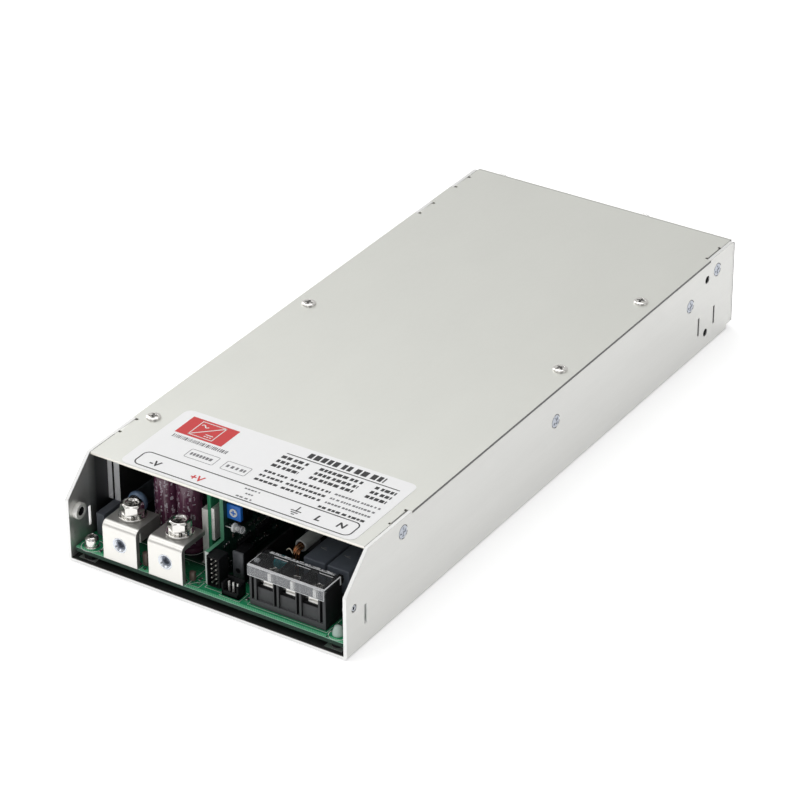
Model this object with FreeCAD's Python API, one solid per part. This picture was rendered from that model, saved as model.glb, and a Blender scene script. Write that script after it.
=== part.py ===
import FreeCAD, Part
import math
import os

# Enclosed two-fan AC-DC power supply. Millimetres. The origin is the middle of the underside,
# the terminals face -Y, the fans are at +Y and +Z is up.

# Flat sides that stand for the round of small repeated pieces
screw_sides = 6
bore_sides = 10
ring_sides = 16
duct_sides = 24
corner_steps = 3

# Case
case_length = 295.0
case_width = 127.0
case_height = 41.0
chassis_sheet = 1.5
cover_sheet = 1.0
seam = 0.15
trim_beyond = 5.0
front_slope_depth = 14.9
front_slope_height = 13.95
rear_relief = 3.0

# Cover flanges that turn down inside the side walls
flange_length = 9.6
flange_depth = 11.0
flange_relief = 1.2
flange_bridge = 0.2
front_flange_from_front = 38.3
rear_flange_from_rear = 14.8
extra_flange_from_rear = 43.6

# Sticker on the cover
label_depth = 44.9
label_corner = 3.0
label_film = 0.12
label_left_margin = 14.6
label_right_margin = 7.0
label_setback = 0.6

# Screws and nuts of the case
cover_screw_head = 6.0
cover_screw_head_height = 1.6
cover_screw_shank = 2.9
cover_screw_reach = 5.0
side_screw_head = 6.8
side_screw_shank = 3.3
side_screw_reach = 4.2
front_screw_drop = 5.8
rear_screw_drop = 7.1
heatsink_screw_z = 26.9
screw_clearance = 0.05
mount_hole = 3.4
mount_nut = 6.6
mount_nut_height = 1.6
front_mount_from_front = 5.2
front_mount_z = 20.25
rear_mount_from_rear = 23.5
rear_mount_low = 8.0
rear_mount_drop = 8.0
slot_width = 1.5
slot_height = 8.4
front_slot_from_front = 12.6
front_slot_z = 13.9
rear_slots_from_rear = (16.5, 29.7)
rear_slot_z = 13.4

# Fans and guards
fan_clearance = 0.25
fan_depth = 28.0
fan_from_side = 28.0
fan_rim = 1.0
fan_hole_edge = 3.0
fan_hub = 20.0
fan_hub_depth = 3.0
fan_strut = 2.2
fan_strut_count = 4
rotor_hub = 19.0
rotor_gap = 0.8
rotor_face_gap = 0.6
blade_count = 7
blade_thickness = 0.9
blade_chord = 15.0
blade_angle = 38.0
blade_camber = 2.0
blade_root = 1.2
blade_tip_gap = 1.6
fan_shaft = 2.0
shaft_clearance = 0.06
guard_wire = 1.4
guard_rings = (14.6, 8.6)
guard_ear = 7.8
guard_ear_hole = 3.5
guard_lift = 0.7
fan_screw_head = 5.8
fan_screw_head_height = 2.0
fan_screw_shank = 2.9
fan_screw_grip = 5.0
fan_screw_spare = 1.0

# Main board and what carries it
board_lift = 2.7
board_thickness = 1.6
board_side_gap = 0.75
board_setback = 1.6
board_fan_gap = 2.5
board_corner = 1.0
film_thickness = 0.3
film_hole = 8.0
film_edge = 0.2
standoff_flats = 6.0
board_screw_head = 5.4
board_screw_head_height = 3.6
board_screw_shank = 2.9
board_screw_reach = 2.7
board_screw_inset = 6.0
board_screw_setback = 4.0
rear_screw_inset = 12.0
support_stem = 3.0
support_cap = 4.8
support_cap_height = 2.2
support_tip_height = 2.6

# Output terminals
terminal_places = (-0.641, -0.3015)
terminal_width = 15.6
terminal_plate = 2.0
terminal_height = 16.4
terminal_depth = 15.1
terminal_bend = 2.8
terminal_wing = 1.6
terminal_wing_drop = 6.0
terminal_nut = 6.4
terminal_nut_bore = 3.3
terminal_nut_length = 3.5
terminal_nut_z = 7.9
bolt_places = (-0.6435, -0.2895)
bolt_setback = 9.1
bolt_flats = 8.0
bolt_head = 3.7
bolt_cup = 5.2
bolt_cup_depth = 0.7
bolt_shank = 4.9
bolt_reach = 6.0
bolt_hole = 5.4
flat_washer = 11.4
flat_washer_thickness = 1.0
spring_washer = 9.2
spring_washer_thickness = 1.3
spring_washer_split = 1.0
bolt_nut = 8.4
bolt_nut_height = 3.4

# Heatsinks along the side walls
heatsink_web = 2.1
heatsink_gap = 0.9
heatsink_plate = 2.6
heatsink_rail_width = 8.4
heatsink_rail_height = 3.4
heatsink_base = 9.6
heatsink_headroom = 0.1
left_heatsink_from_front = 24.9
left_heatsink_length = 142.6
right_heatsink_from_rear = 33.5
right_heatsink_length = 124.0
left_cover_screws = (23.2, 129.7)
right_cover_screws = (25.4, 89.8)
left_side_screw = 123.5
right_side_screws = (10.9, 119.9)
support_rail_width = 3.5
support_rail_proud = 0.4
support_rail_lead = 11.4
transistor_width = 15.6
transistor_thickness = 4.8
transistor_drop = 3.4
transistor_lead = 1.0
transistor_lead_width = 11.0
transistor_lift = 1.0
transistor_count = 3
left_transistor_start = 37.6
left_transistor_pitch = 24.0
right_transistor_start = 41.6
right_transistor_pitch = 19.2
bridge_start = 17.0
bridge_width = 28.0
bridge_thickness = 4.6
bridge_drop = 2.4
bridge_lead_count = 4
bridge_lead_pitch = 6.4

# Output side parts
output_can = 10.0
output_can_drop = 4.0
output_can_pitch = 10.5
output_can_from_front = 25.0
output_can_place = -0.462
output_can_bevel = 0.7
disc_capacitor = 9.0
disc_capacitor_thickness = 3.6
disc_capacitor_z = 12.8
disc_capacitor_place = -0.77
disc_capacitor_from_front = 24.5
rectifier_place = -0.156
rectifier_from_front = 18.4
rectifier_length = 58.0
rectifier_sheet = 1.6
rectifier_headroom = 1.5
bar_thickness = 2.7
bar_length = 24.0
left_bar_height = 24.5
right_bar_base = 12.0
right_bar_height = 14.0
inductor_size = (30.0, 25.0, 25.0)
inductor_share = 0.1
transformer_size = (38.0, 42.0, 26.0)
transformer_share = 0.28

# Control board, header, trimmer and LED
control_place = -0.058
control_sheet = 1.6
control_from_front = 7.5
control_step = 10.2
control_step_z = 14.4
control_length = 78.0
control_headroom = 1.7
header_width = 5.6
header_height = 13.0
header_depth = 6.0
header_nose = 1.4
header_wall = 0.5
header_base_z = 0.9
pin = 0.5
pin_pitch = 2.0
pin_rows = 6
pin_columns = 2
trimmer_size = 6.3
trimmer_depth = 4.8
trimmer_drop = 3.15
trimmer_nose = 2.2
trimmer_rotor = 3.4
trimmer_rotor_depth = 2.4
trimmer_rotor_stand = 0.4
trimmer_clearance = 0.06
trimmer_slot = 0.7
trimmer_slot_depth = 0.7
led = 3.0
led_body = 3.8
led_flange = 3.8
led_flange_thickness = 0.9
led_lead = 3.4
led_lead_wire = 0.5
led_lead_pitch = 1.6
led_drop = 2.75
led_nose = 1.6
led_shoulder = (0.9, 2.4)
led_tip = (1.5, 0.9)
chip_size = (9.0, 1.6, 4.0)
chip_start = 12.0
chip_pitch = 12.0
chip_columns = 4
chip_base = 7.6
chip_row_pitch = 10.0
chip_rows = 2

# Small connectors beside the control board
sense_place = 0.088
sense_size = (4.7, 8.0, 13.3)
sense_from_front = 14.5
sense_slot = (1.8, 1.2, 5.0)
aux_place = 0.1385
aux_size = (7.6, 5.0, 6.5)
aux_wall = 0.8
aux_from_front = 4.5
aux_pin = 0.6
aux_pin_pitch = 2.0
aux_pin_count = 3
aux_pin_height = 5.4

# Upright sheet between the control board and the input side
barrier_place = 0.213
barrier_sheet = 0.8
barrier_height = 14.2
barrier_from_front = 16.5
barrier_rear_gap = 0.4

# Input terminal block and its hinged cover
block_place = 0.55
block_from_front = 5.1
block_depth = 12.5
block_height = 16.4
block_pole_floor = 8.9
block_back_wall = 1.6
block_end_wall = 3.0
pole_count = 3
pole_pitch = 10.0
pole_width = 7.8
panel_depth = 0.8
panel_margin = 1.6
groove_width = 0.7
groove_depth = 1.6
ear_width = 2.2
ear_radius = 1.9
hinge_pin = 2.0
hinge_clearance = 0.08
hinge_rise = 0.8
lid_sheet = 0.9
lid_overhang = 0.1
lid_lip = 4.7
lid_front_gap = 0.3
lid_side_gap = 0.3
contact_thickness = 0.8
contact_fork = 3.8
clamp_size = 7.0
clamp_thickness = 1.0
clamp_hole = 3.8
input_screw_head = 6.4
input_screw_head_height = 2.4
input_screw_shank = 3.4
input_screw_reach = 5.0
input_screw_hole = 3.6
input_screw_setback = 6.0

# Parts of the input side behind the block
relay_from_wall = 11.1
relay_pitch = 10.54
relay_count = 2
relay_size = (9.6, 17.0, 16.9)
relay_from_front = 20.8
varistor = 7.6
varistor_thickness = 4.2
varistor_z = 10.5
varistor_gap = 0.3
varistor_from_front = 20.6
disc_lead = 0.8
sleeve_side_gap = 1.07
sleeve_from_front = 24.5
sleeve_gap = 0.5
sleeve_outer = 5.0
sleeve_bore = 3.2
sleeve_z = 18.4
lead_wire = 3.0
lead_overrun = 3.0
lead_inside = 6.0
filter_size = (36.0, 27.0, 25.0)
filter_core = 13.5
filter_window = 12.0
filter_limb = 7.0
filter_share = 0.07
film_capacitor_size = (38.0, 13.0, 22.0)
film_capacitor_share = 0.22
boost_size = (36.0, 36.0, 26.0)
boost_share = 0.42
core_limb = 7.0
winding_proud = 3.0
can_length = 48.0
can_count = 3
can_lift = 0.3
can_headroom = 3.9
can_share = 0.66

# Room for the hidden parts between the front parts and the fans
middle_front_gap = 2.0
middle_rear_gap = 1.0
middle_side_gap = 0.8

# Places that follow from the sizes above
half_width = case_width / 2
inner_half = half_width - chassis_sheet
front = -case_length / 2
rear = case_length / 2
rear_wall = rear - chassis_sheet
wall_end = rear_wall - seam
cover_under = case_height - cover_sheet
cover_front = front + front_slope_depth
slope_foot = case_height - front_slope_height

front_flange = front + front_flange_from_front
rear_flange = rear - rear_flange_from_rear
extra_flange = rear - extra_flange_from_rear
flange_reach = flange_length / 2 + flange_relief
flange_outer = inner_half - seam
flange_inner = flange_outer - cover_sheet

fan_size = cover_under - chassis_sheet - 2 * fan_clearance
fan_z = chassis_sheet + fan_clearance + fan_size / 2
fan_front = rear_wall - fan_depth
fan_bore = fan_size - 2 * fan_rim
fan_hole_offset = fan_size / 2 - fan_hole_edge
fan_x = half_width - fan_from_side
fan_centres = {"left": -fan_x, "right": fan_x}

board_under = chassis_sheet + board_lift
board_top = board_under + board_thickness
board_half = inner_half - board_side_gap
board_front = front + board_setback
board_rear = fan_front - board_fan_gap
board_screw_x = inner_half - board_screw_inset
board_screw_front = board_front + board_screw_setback
board_screw_rear = board_rear - board_screw_setback
rear_screw_x = inner_half - rear_screw_inset
headroom = cover_under - board_top

heatsink_under = board_top + heatsink_base
heatsink_top = cover_under - heatsink_headroom
heatsink_rail_under = heatsink_top - heatsink_rail_height
heatsink_screw_x = inner_half - heatsink_web + heatsink_gap - heatsink_rail_width / 2
heatsink_face = inner_half - heatsink_web - heatsink_gap - heatsink_plate
left_heatsink = front + left_heatsink_from_front
right_heatsink = rear - right_heatsink_from_rear - right_heatsink_length

block_front = front + block_from_front
block_rear = block_front + block_depth
block_top = board_top + block_height
hinge_y = block_rear - ear_radius
hinge_z = block_top + hinge_rise
pole_floor = board_top + block_pole_floor
input_screw_y = block_front + input_screw_setback

control_front = front + control_from_front
control_upper = control_front + control_step
control_top = cover_under - control_headroom

relays_end = inner_half - relay_from_wall - (relay_count - 1) * relay_pitch - relay_size[0]
sleeve_x = relays_end - sleeve_side_gap - sleeve_outer / 2
varistor_x = sleeve_x - lead_wire / 2 - varistor_gap - varistor / 2
middle_start = front + relay_from_front + relay_size[1] + middle_front_gap
middle_end = board_rear - middle_rear_gap
middle_half = heatsink_face - transistor_thickness - middle_side_gap
can = headroom - can_lift - can_headroom
can_pitch = (2 * middle_half - can) / (can_count - 1)


def across(share):
    """Place across the inside of the case, from -1 at the left wall to 1 at the right wall."""
    return share * inner_half


def middle(share):
    """Place along the board between the front parts and the fans, from 0 to 1."""
    return middle_start + share * (middle_end - middle_start)


def beside(width, side):
    """Middle of a part of the given width that lies against the power packages of one side."""
    return side * (middle_half - width / 2)


def vec(x, y, z):
    return FreeCAD.Vector(x, y, z)


def around(middle_value, size):
    """Low and high ends of a span with the given middle."""
    return (middle_value - size / 2, middle_value + size / 2)


def block(x, y, z):
    """Box from three (low, high) spans."""
    return Part.makeBox(x[1] - x[0], y[1] - y[0], z[1] - z[0], vec(x[0], y[0], z[0]))


def rod(diameter, start, along, length):
    return Part.makeCylinder(diameter / 2, length, vec(*start), vec(*along))


def turned(start, along, steps, sides, hollow=False):
    """Turned piece drawn with flat sides, from (distance, diameter) steps along its axis."""
    axis = vec(*along)
    first = axis.cross(vec(0, 0, 1) if abs(along[2]) < 0.5 else vec(1, 0, 0))
    second = axis.cross(first)
    loops = []
    for distance, diameter in steps:
        loop = []
        for i in range(sides):
            angle = 2 * math.pi * (i + 0.5) / sides
            arm = first * math.cos(angle) + second * math.sin(angle)
            loop.append(vec(*start) + axis * distance + arm * (diameter / 2))
        loops.append(loop)
    bands = list(zip(loops, loops[1:]))
    faces = []
    if hollow:
        bands.append((loops[-1], loops[0]))
    else:
        faces += [Part.Face(Part.makePolygon(loop + loop[:1])) for loop in (loops[0], loops[-1])]
    for low, high in bands:
        for i in range(sides):
            j = (i + 1) % sides
            faces.append(Part.Face(Part.makePolygon([low[i], low[j], high[j], high[i], low[i]])))
    solid = Part.Solid(Part.Shell(faces))
    if solid.Volume < 0:
        solid.reverse()
    return solid.removeSplitter()


def ring(outer, bore, start, along, length, sides):
    """Flat-sided ring."""
    return turned(start, along, [(0, outer), (length, outer), (length, bore), (0, bore)], sides, True)


def stud(diameter, start, along, length, sides):
    """Flat-sided round bar, also used to cut the hole that it fits."""
    return turned(start, along, [(0, diameter), (length, diameter)], sides)


def screw_hole(shank, start, along, length):
    return stud(shank + 2 * screw_clearance, start, along, length, screw_sides)


def bearing(pin_diameter, clearance, start, along, length):
    """Flat-sided bore whose flats clear a round pin by the given amount."""
    corner_diameter = (pin_diameter + 2 * clearance) / math.cos(math.pi / bore_sides)
    return stud(corner_diameter, start, along, length, bore_sides)


def placed(axis, at, a, b):
    """Point of a flat outline that lies square to one axis."""
    if axis == "x":
        return vec(at, a, b)
    if axis == "y":
        return vec(a, at, b)
    return vec(a, b, at)


def outline(axis, at, corners):
    """Closed wire through (a, b, radius) corners, each rounded by its own radius."""
    points = [placed(axis, at, a, b) for a, b, radius in corners]
    count = len(corners)
    stops = []
    arcs = []
    for i in range(count):
        point = points[i]
        radius = corners[i][2]
        back = (points[i - 1] - point).normalize()
        on = (points[(i + 1) % count] - point).normalize()
        half = back.getAngle(on) / 2
        trim = radius / math.tan(half)
        stops.append((point + back * trim, point + on * trim))
        bisector = (back + on).normalize()
        arcs.append(point + bisector * (radius / math.sin(half) - radius))
    edges = []
    for i in range(count):
        start, end = stops[i]
        if corners[i][2] > 0:
            edges.append(Part.Arc(start, arcs[i], end).toShape())
        following = stops[(i + 1) % count][0]
        if end.distanceToPoint(following) > 1e-6:
            edges.append(Part.LineSegment(end, following).toShape())
    return Part.Wire(edges)


def prism(axis, span, corners):
    """Solid with a constant rounded outline between two places on one axis."""
    face = Part.Face(outline(axis, span[0], corners))
    return face.extrude(placed(axis, span[1] - span[0], 0, 0))


def square_corners(points):
    return [(a, b, 0.0) for a, b in points]


def rectangle(a, b, radius):
    """Rectangle with its corners rounded in short straight steps."""
    centres = [
        (a[1] - radius, b[1] - radius),
        (a[0] + radius, b[1] - radius),
        (a[0] + radius, b[0] + radius),
        (a[1] - radius, b[0] + radius),
    ]
    points = []
    for quarter, centre in enumerate(centres):
        for step in range(corner_steps + 1):
            angle = math.pi / 2 * (quarter + step / corner_steps)
            points.append((centre[0] + radius * math.cos(angle), centre[1] + radius * math.sin(angle)))
    return square_corners(points)


def mirrored(shape):
    return shape.mirror(vec(0, 0, 0), vec(1, 0, 0))


def on_side(shape, side):
    """A piece made for the right wall, or its mirror image for the left wall."""
    return shape if side > 0 else mirrored(shape)


def fused(shapes):
    return shapes[0].multiFuse(shapes[1:]).removeSplitter()


def flange_places(side):
    if side > 0:
        return [front_flange, rear_flange]
    return [front_flange, extra_flange, rear_flange]


def side_screw_places(side):
    """(y, z) of the countersunk screws of one wall."""
    cover = [
        (front_flange, case_height - front_screw_drop),
        (rear_flange, case_height - rear_screw_drop),
    ]
    if side > 0:
        sink = [(right_heatsink + offset, heatsink_screw_z) for offset in right_side_screws]
    else:
        sink = [(left_heatsink + left_side_screw, heatsink_screw_z)]
        sink.append((extra_flange, case_height - rear_screw_drop))
    return cover + sink


def front_mount_place():
    """(y, z) of the front mounting hole, the same in both walls."""
    return front + front_mount_from_front, front_mount_z


def rear_mount_places():
    """(y, z) of the rear pair of mounting holes, the same in both walls."""
    y = rear - rear_mount_from_rear
    return [(y, rear_mount_low), (y, case_height - rear_mount_drop)]


def cover_screw_places():
    left = [(-heatsink_screw_x, left_heatsink + offset) for offset in left_cover_screws]
    right = [(heatsink_screw_x, right_heatsink + offset) for offset in right_cover_screws]
    return left + right


def fan_hole_places():
    """(x, z) of the two diagonal fan screws of each fan."""
    places = []
    for centre in fan_centres.values():
        for sign in (-1, 1):
            places.append((centre + sign * fan_hole_offset, fan_z + sign * fan_hole_offset))
    return places


def channel():
    """Floor and side walls, bent from one sheet."""
    corners = [
        (-half_width, case_height, 0.0),
        (-half_width, 0.0, chassis_sheet),
        (half_width, 0.0, chassis_sheet),
        (half_width, case_height, 0.0),
        (inner_half, case_height, 0.0),
        (inner_half, chassis_sheet, 0.0),
        (-inner_half, chassis_sheet, 0.0),
        (-inner_half, case_height, 0.0),
    ]
    return prism("y", (front, wall_end), corners)


def wall_trim(side):
    """What is cut off the top of one wall: the front slope and the ledge that the cover lies on."""
    rise = trim_beyond * front_slope_height / front_slope_depth
    high = case_height + trim_beyond
    span = (0.0, half_width + trim_beyond)
    slope = square_corners([
        (front - trim_beyond, slope_foot - rise),
        (cover_front + trim_beyond, case_height + rise),
        (front - trim_beyond, case_height + rise),
    ])
    ends = [front_flange + flange_reach]
    for place in flange_places(side)[1:-1]:
        ends += [place - flange_reach, place + flange_reach]
    ends.append(rear_flange - flange_reach)
    cuts = [prism("x", span, slope)]
    for start, end in zip(ends[0::2], ends[1::2]):
        cuts.append(block(span, (start, end), (cover_under, high)))
    return on_side(Part.makeCompound(cuts), side)


def rear_panel():
    """Rear wall, bent up from the floor between two corner reliefs."""
    heel = wall_end - chassis_sheet
    corners = [
        (heel, 0.0, 0.0),
        (rear, 0.0, chassis_sheet),
        (rear, rear_relief, 0.0),
        (rear_wall, rear_relief, 0.0),
        (rear_wall, chassis_sheet, 0.0),
        (heel, chassis_sheet, 0.0),
    ]
    bend_half = half_width - rear_relief
    bend = prism("x", (-bend_half, bend_half), corners)
    wall = block((-half_width, half_width), (rear_wall, rear), (rear_relief, cover_under))
    return [bend, wall]


def wall_holes(side):
    """Countersinks, mounting holes and slots of one wall."""
    cuts = []
    for y, z in side_screw_places(side):
        steps = [(0, side_screw_head), (chassis_sheet, side_screw_shank + 2 * screw_clearance)]
        cuts.append(turned((half_width, y, z), (-1, 0, 0), steps, screw_sides))
    y, z = front_mount_place()
    cuts.append(stud(mount_hole, (inner_half, y, z), (1, 0, 0), chassis_sheet, bore_sides))
    for y, z in rear_mount_places():
        cuts.append(rod(mount_hole, (inner_half, y, z), (1, 0, 0), chassis_sheet))
    slots = [(front + front_slot_from_front, front_slot_z)]
    slots += [(rear - offset, rear_slot_z) for offset in rear_slots_from_rear]
    for y, z in slots:
        cuts.append(block((inner_half, half_width), around(y, slot_width), around(z, slot_height)))
    return on_side(Part.makeCompound(cuts), side)


def chassis():
    cuts = [wall_trim(-1), wall_trim(1), wall_holes(-1), wall_holes(1)]
    notch_y = (wall_end - rear_relief - seam, rear)
    for side in (-1, 1):
        notch = block((half_width - rear_relief, half_width), notch_y, (0.0, rear_relief))
        cuts.append(on_side(notch, side))
    for centre in fan_centres.values():
        cuts.append(stud(fan_bore, (centre, rear_wall, fan_z), (0, 1, 0), chassis_sheet, duct_sides))
    for x, z in fan_hole_places():
        cuts.append(screw_hole(fan_screw_shank, (x, rear, z), (0, -1, 0), chassis_sheet))
    return fused([channel()] + rear_panel()).cut(cuts).removeSplitter()


def cover_flange(place):
    """Flange on the right-hand edge, with its outer bend drawn as a bevel."""
    low = case_height - flange_depth
    bevel = cover_sheet / 2
    corners = square_corners([
        (flange_inner, low),
        (flange_outer, low),
        (flange_outer, case_height - bevel),
        (flange_outer - bevel, case_height),
        (flange_inner, case_height),
    ])
    return prism("y", around(place, flange_length), corners)


def top_cover():
    """Flat sheet, notched where the side walls stand flush with it, with turned-down flanges."""
    plate = block((-half_width, half_width), (cover_front, rear), (cover_under, case_height))
    edge = (flange_outer, half_width)
    thickness = (cover_under, case_height)
    cuts = []
    flanges = []
    for side in (-1, 1):
        spans = [(cover_front, front_flange + flange_reach + seam)]
        for place in flange_places(side)[1:-1]:
            spans.append((place - flange_reach - seam, place + flange_reach + seam))
        spans.append((rear_flange - flange_reach - seam, rear))
        cuts += [on_side(block(edge, span, thickness), side) for span in spans]
        for place in flange_places(side):
            strip = (flange_inner - flange_bridge, flange_outer)
            opening = block(strip, around(place, 2 * flange_reach), thickness)
            cuts.append(on_side(opening, side))
            neck = (flange_inner - flange_bridge, flange_inner)
            bridge = block(neck, around(place, flange_length), thickness)
            flanges += [on_side(cover_flange(place), side), on_side(bridge, side)]
    sheet = fused([plate.cut(cuts)] + flanges)
    holes = []
    for x, y in cover_screw_places():
        holes.append(screw_hole(cover_screw_shank, (x, y, case_height), (0, 0, -1), cover_sheet))
    for side in (-1, 1):
        for y, z in side_screw_places(side):
            if y in flange_places(side):
                hole = screw_hole(side_screw_shank, (flange_outer, y, z), (-1, 0, 0), cover_sheet)
                holes.append(on_side(hole, side))
    return sheet.cut(holes)


def rating_label():
    low = cover_front + label_setback
    span = (-half_width + label_left_margin, half_width - label_right_margin)
    edge = rectangle(span, (low, low + label_depth), label_corner)
    return prism("z", (case_height, case_height + label_film), edge)


def pan_screw(head, head_height, shank, reach, seat, into):
    """Low round head on a plain shank; seat is the middle of the face under the head."""
    steps = [(-head_height, head), (0, head), (0, shank), (reach, shank)]
    return turned(seat, into, steps, screw_sides)


def cover_screws():
    screws = []
    for x, y in cover_screw_places():
        screws.append(pan_screw(cover_screw_head, cover_screw_head_height, cover_screw_shank,
                                cover_screw_reach, (x, y, case_height), (0, 0, -1)))
    return Part.makeCompound(screws)


def side_screws():
    screws = []
    for side in (-1, 1):
        for y, z in side_screw_places(side):
            steps = [
                (0, side_screw_head - 2 * screw_clearance),
                (chassis_sheet, side_screw_shank),
                (side_screw_reach, side_screw_shank),
            ]
            screws.append(on_side(turned((half_width, y, z), (-1, 0, 0), steps, screw_sides), side))
    return Part.makeCompound(screws)


def mounting_nuts():
    """Press-in nuts; the flats of their bores clear the holes in the wall."""
    bore = (mount_hole + 2 * screw_clearance) / math.cos(math.pi / screw_sides)
    nuts = []
    for side in (-1, 1):
        for y, z in [front_mount_place()] + rear_mount_places():
            start = (inner_half, y, z)
            nut = ring(mount_nut, bore, start, (-1, 0, 0), mount_nut_height, screw_sides)
            nuts.append(on_side(nut, side))
    return Part.makeCompound(nuts)


def fan_frame(centre):
    """Square frame with a round duct; the motor base stands on struts at the rear end."""
    body = block(around(centre, fan_size), (fan_front, rear_wall), around(fan_z, fan_size))
    duct = stud(fan_bore, (centre, fan_front, fan_z), (0, 1, 0), fan_depth, duct_sides)
    base_start = rear_wall - fan_hub_depth
    base = stud(fan_hub, (centre, base_start, fan_z), (0, 1, 0), fan_hub_depth, ring_sides)
    struts = []
    for i in range(fan_strut_count):
        reach = (centre, centre + fan_bore / 2 + fan_rim / 2)
        arm = block(reach, (base_start, rear_wall), around(fan_z, fan_strut))
        angle = (i + 0.5) * 360.0 / fan_strut_count
        arm.rotate(vec(centre, 0, fan_z), vec(0, 1, 0), angle)
        struts.append(arm)
    cuts = [bearing(fan_shaft, shaft_clearance, (centre, base_start, fan_z), (0, 1, 0), fan_hub_depth)]
    for x, z in fan_hole_places():
        if abs(x - centre) < fan_size:
            depth = fan_screw_grip + fan_screw_spare
            cuts.append(screw_hole(fan_screw_shank, (x, rear_wall, z), (0, -1, 0), depth))
    return fused([body.cut(duct), base] + struts).cut(cuts)


def fan_blade(middle_y):
    """One blade that points up from the hub: a bent plate set at an angle to the shaft."""
    lean = math.radians(blade_angle)
    run = vec(math.sin(lean), math.cos(lean), 0) * (blade_chord / 2)
    normal = vec(math.cos(lean), -math.sin(lean), 0)
    thick = normal * blade_thickness
    root = rotor_hub / 2 - blade_root
    centre = vec(0, middle_y, root)
    lower = [centre - run, centre + normal * blade_camber, centre + run]
    upper = [point + thick for point in reversed(lower)]
    section = Part.Face(Part.makePolygon(lower + upper + lower[:1]))
    return section.extrude(vec(0, 0, fan_bore / 2 - blade_tip_gap - root))


def fan_rotor(centre):
    """Hub cup with its blades and the shaft that runs in the motor base."""
    hub_start = fan_front + rotor_gap
    hub_end = rear_wall - fan_hub_depth - rotor_face_gap
    hub = stud(rotor_hub, (0, hub_start, 0), (0, 1, 0), hub_end - hub_start, ring_sides)
    shaft = rod(fan_shaft, (0, hub_end, 0), (0, 1, 0), rotor_face_gap + fan_hub_depth)
    blade = fan_blade((hub_start + hub_end) / 2)
    blades = []
    for i in range(blade_count):
        copy = blade.copy()
        copy.rotate(vec(0, 0, 0), vec(0, 1, 0), i * 360.0 / blade_count)
        blades.append(copy)
    rotor = fused([hub, shaft] + blades)
    rotor.translate(vec(centre, 0, fan_z))
    return rotor


def guard_ring(radius, start):
    """Wire ring about the fan's axis."""
    outer = 2 * radius + guard_wire
    return ring(outer, outer - 2 * guard_wire, (0, start, 0), (0, 1, 0), guard_wire, ring_sides)


def fan_guard(centre):
    """Finger guard: rings welded on four spokes that end in screw ears."""
    half = guard_wire / 2
    pieces = [guard_ring(radius, rear + guard_wire * guard_lift) for radius in guard_rings]
    ear_place = fan_hole_offset * math.sqrt(2)
    for i in range(4):
        ear_start = ear_place - (guard_ear + guard_ear_hole) / 4
        spoke = block((guard_rings[-1] - half, ear_start), (rear, rear + guard_wire), (-half, half))
        ear = ring(guard_ear, guard_ear_hole, (ear_place, rear, 0), (0, 1, 0), guard_wire, screw_sides)
        arm = fused([spoke, ear])
        arm.rotate(vec(0, 0, 0), vec(0, 1, 0), 45 + 90 * i)
        pieces.append(arm)
    guard = fused(pieces)
    guard.translate(vec(centre, 0, fan_z))
    return guard


def fan_screws():
    screws = []
    reach = guard_wire + chassis_sheet + fan_screw_grip
    for x, z in fan_hole_places():
        screws.append(pan_screw(fan_screw_head, fan_screw_head_height, fan_screw_shank, reach,
                                (x, rear + guard_wire, z), (0, -1, 0)))
    return Part.makeCompound(screws)


def board_screw_places():
    return [
        (-board_screw_x, board_screw_front),
        (-rear_screw_x, board_screw_rear),
        (rear_screw_x, board_screw_rear),
    ]


def support_place():
    return (board_screw_x, board_screw_front)


def insulating_sheet():
    """Thin film on the floor, with openings for what stands on the floor."""
    reach = inner_half - film_edge
    film = block((-reach, reach), (front, board_rear), (chassis_sheet, chassis_sheet + film_thickness))
    cuts = []
    for x, y in board_screw_places() + [support_place()]:
        cuts.append(block(around(x, film_hole), around(y, film_hole), (0.0, board_under)))
    return film.cut(cuts)


def main_board():
    edge = rectangle((-board_half, board_half), (board_front, board_rear), board_corner)
    sheet = prism("z", (board_under, board_top), edge)
    holes = []
    for x, y in board_screw_places():
        holes.append(screw_hole(board_screw_shank, (x, y, board_top), (0, 0, -1), board_thickness))
    x, y = support_place()
    holes.append(screw_hole(support_stem, (x, y, board_top), (0, 0, -1), board_thickness))
    return sheet.cut(holes)


def hexagon(flats, x, y):
    """Six corners of a hexagon lying flat, with two sides square to Y."""
    radius = flats / math.sqrt(3)
    corners = []
    for i in range(6):
        angle = math.radians(60 * i)
        corners.append((x + radius * math.cos(angle), y + radius * math.sin(angle)))
    return square_corners(corners)


def hex_prism(flats, x, y, z):
    return prism("z", z, hexagon(flats, x, y))


def board_standoffs():
    pieces = []
    for x, y in board_screw_places():
        post = hex_prism(standoff_flats, x, y, (chassis_sheet, board_under))
        bore = screw_hole(board_screw_shank, (x, y, board_under), (0, 0, -1), board_lift)
        pieces.append(post.cut(bore))
    return Part.makeCompound(pieces)


def board_screws():
    screws = []
    reach = board_thickness + board_screw_reach - screw_clearance
    for x, y in board_screw_places():
        screws.append(pan_screw(board_screw_head, board_screw_head_height, board_screw_shank, reach,
                                (x, y, board_top), (0, 0, -1)))
    return Part.makeCompound(screws)


def board_support():
    """Nylon post that snaps through the board."""
    x, y = support_place()
    steps = [
        (board_lift + board_thickness, support_cap),
        (board_thickness, support_cap),
        (board_thickness, support_stem),
        (0, support_stem),
        (0, support_cap),
        (-support_cap_height, support_cap),
        (-support_cap_height - support_tip_height, support_stem / 2),
    ]
    return turned((x, y, board_top), (0, 0, -1), steps, screw_sides)


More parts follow.
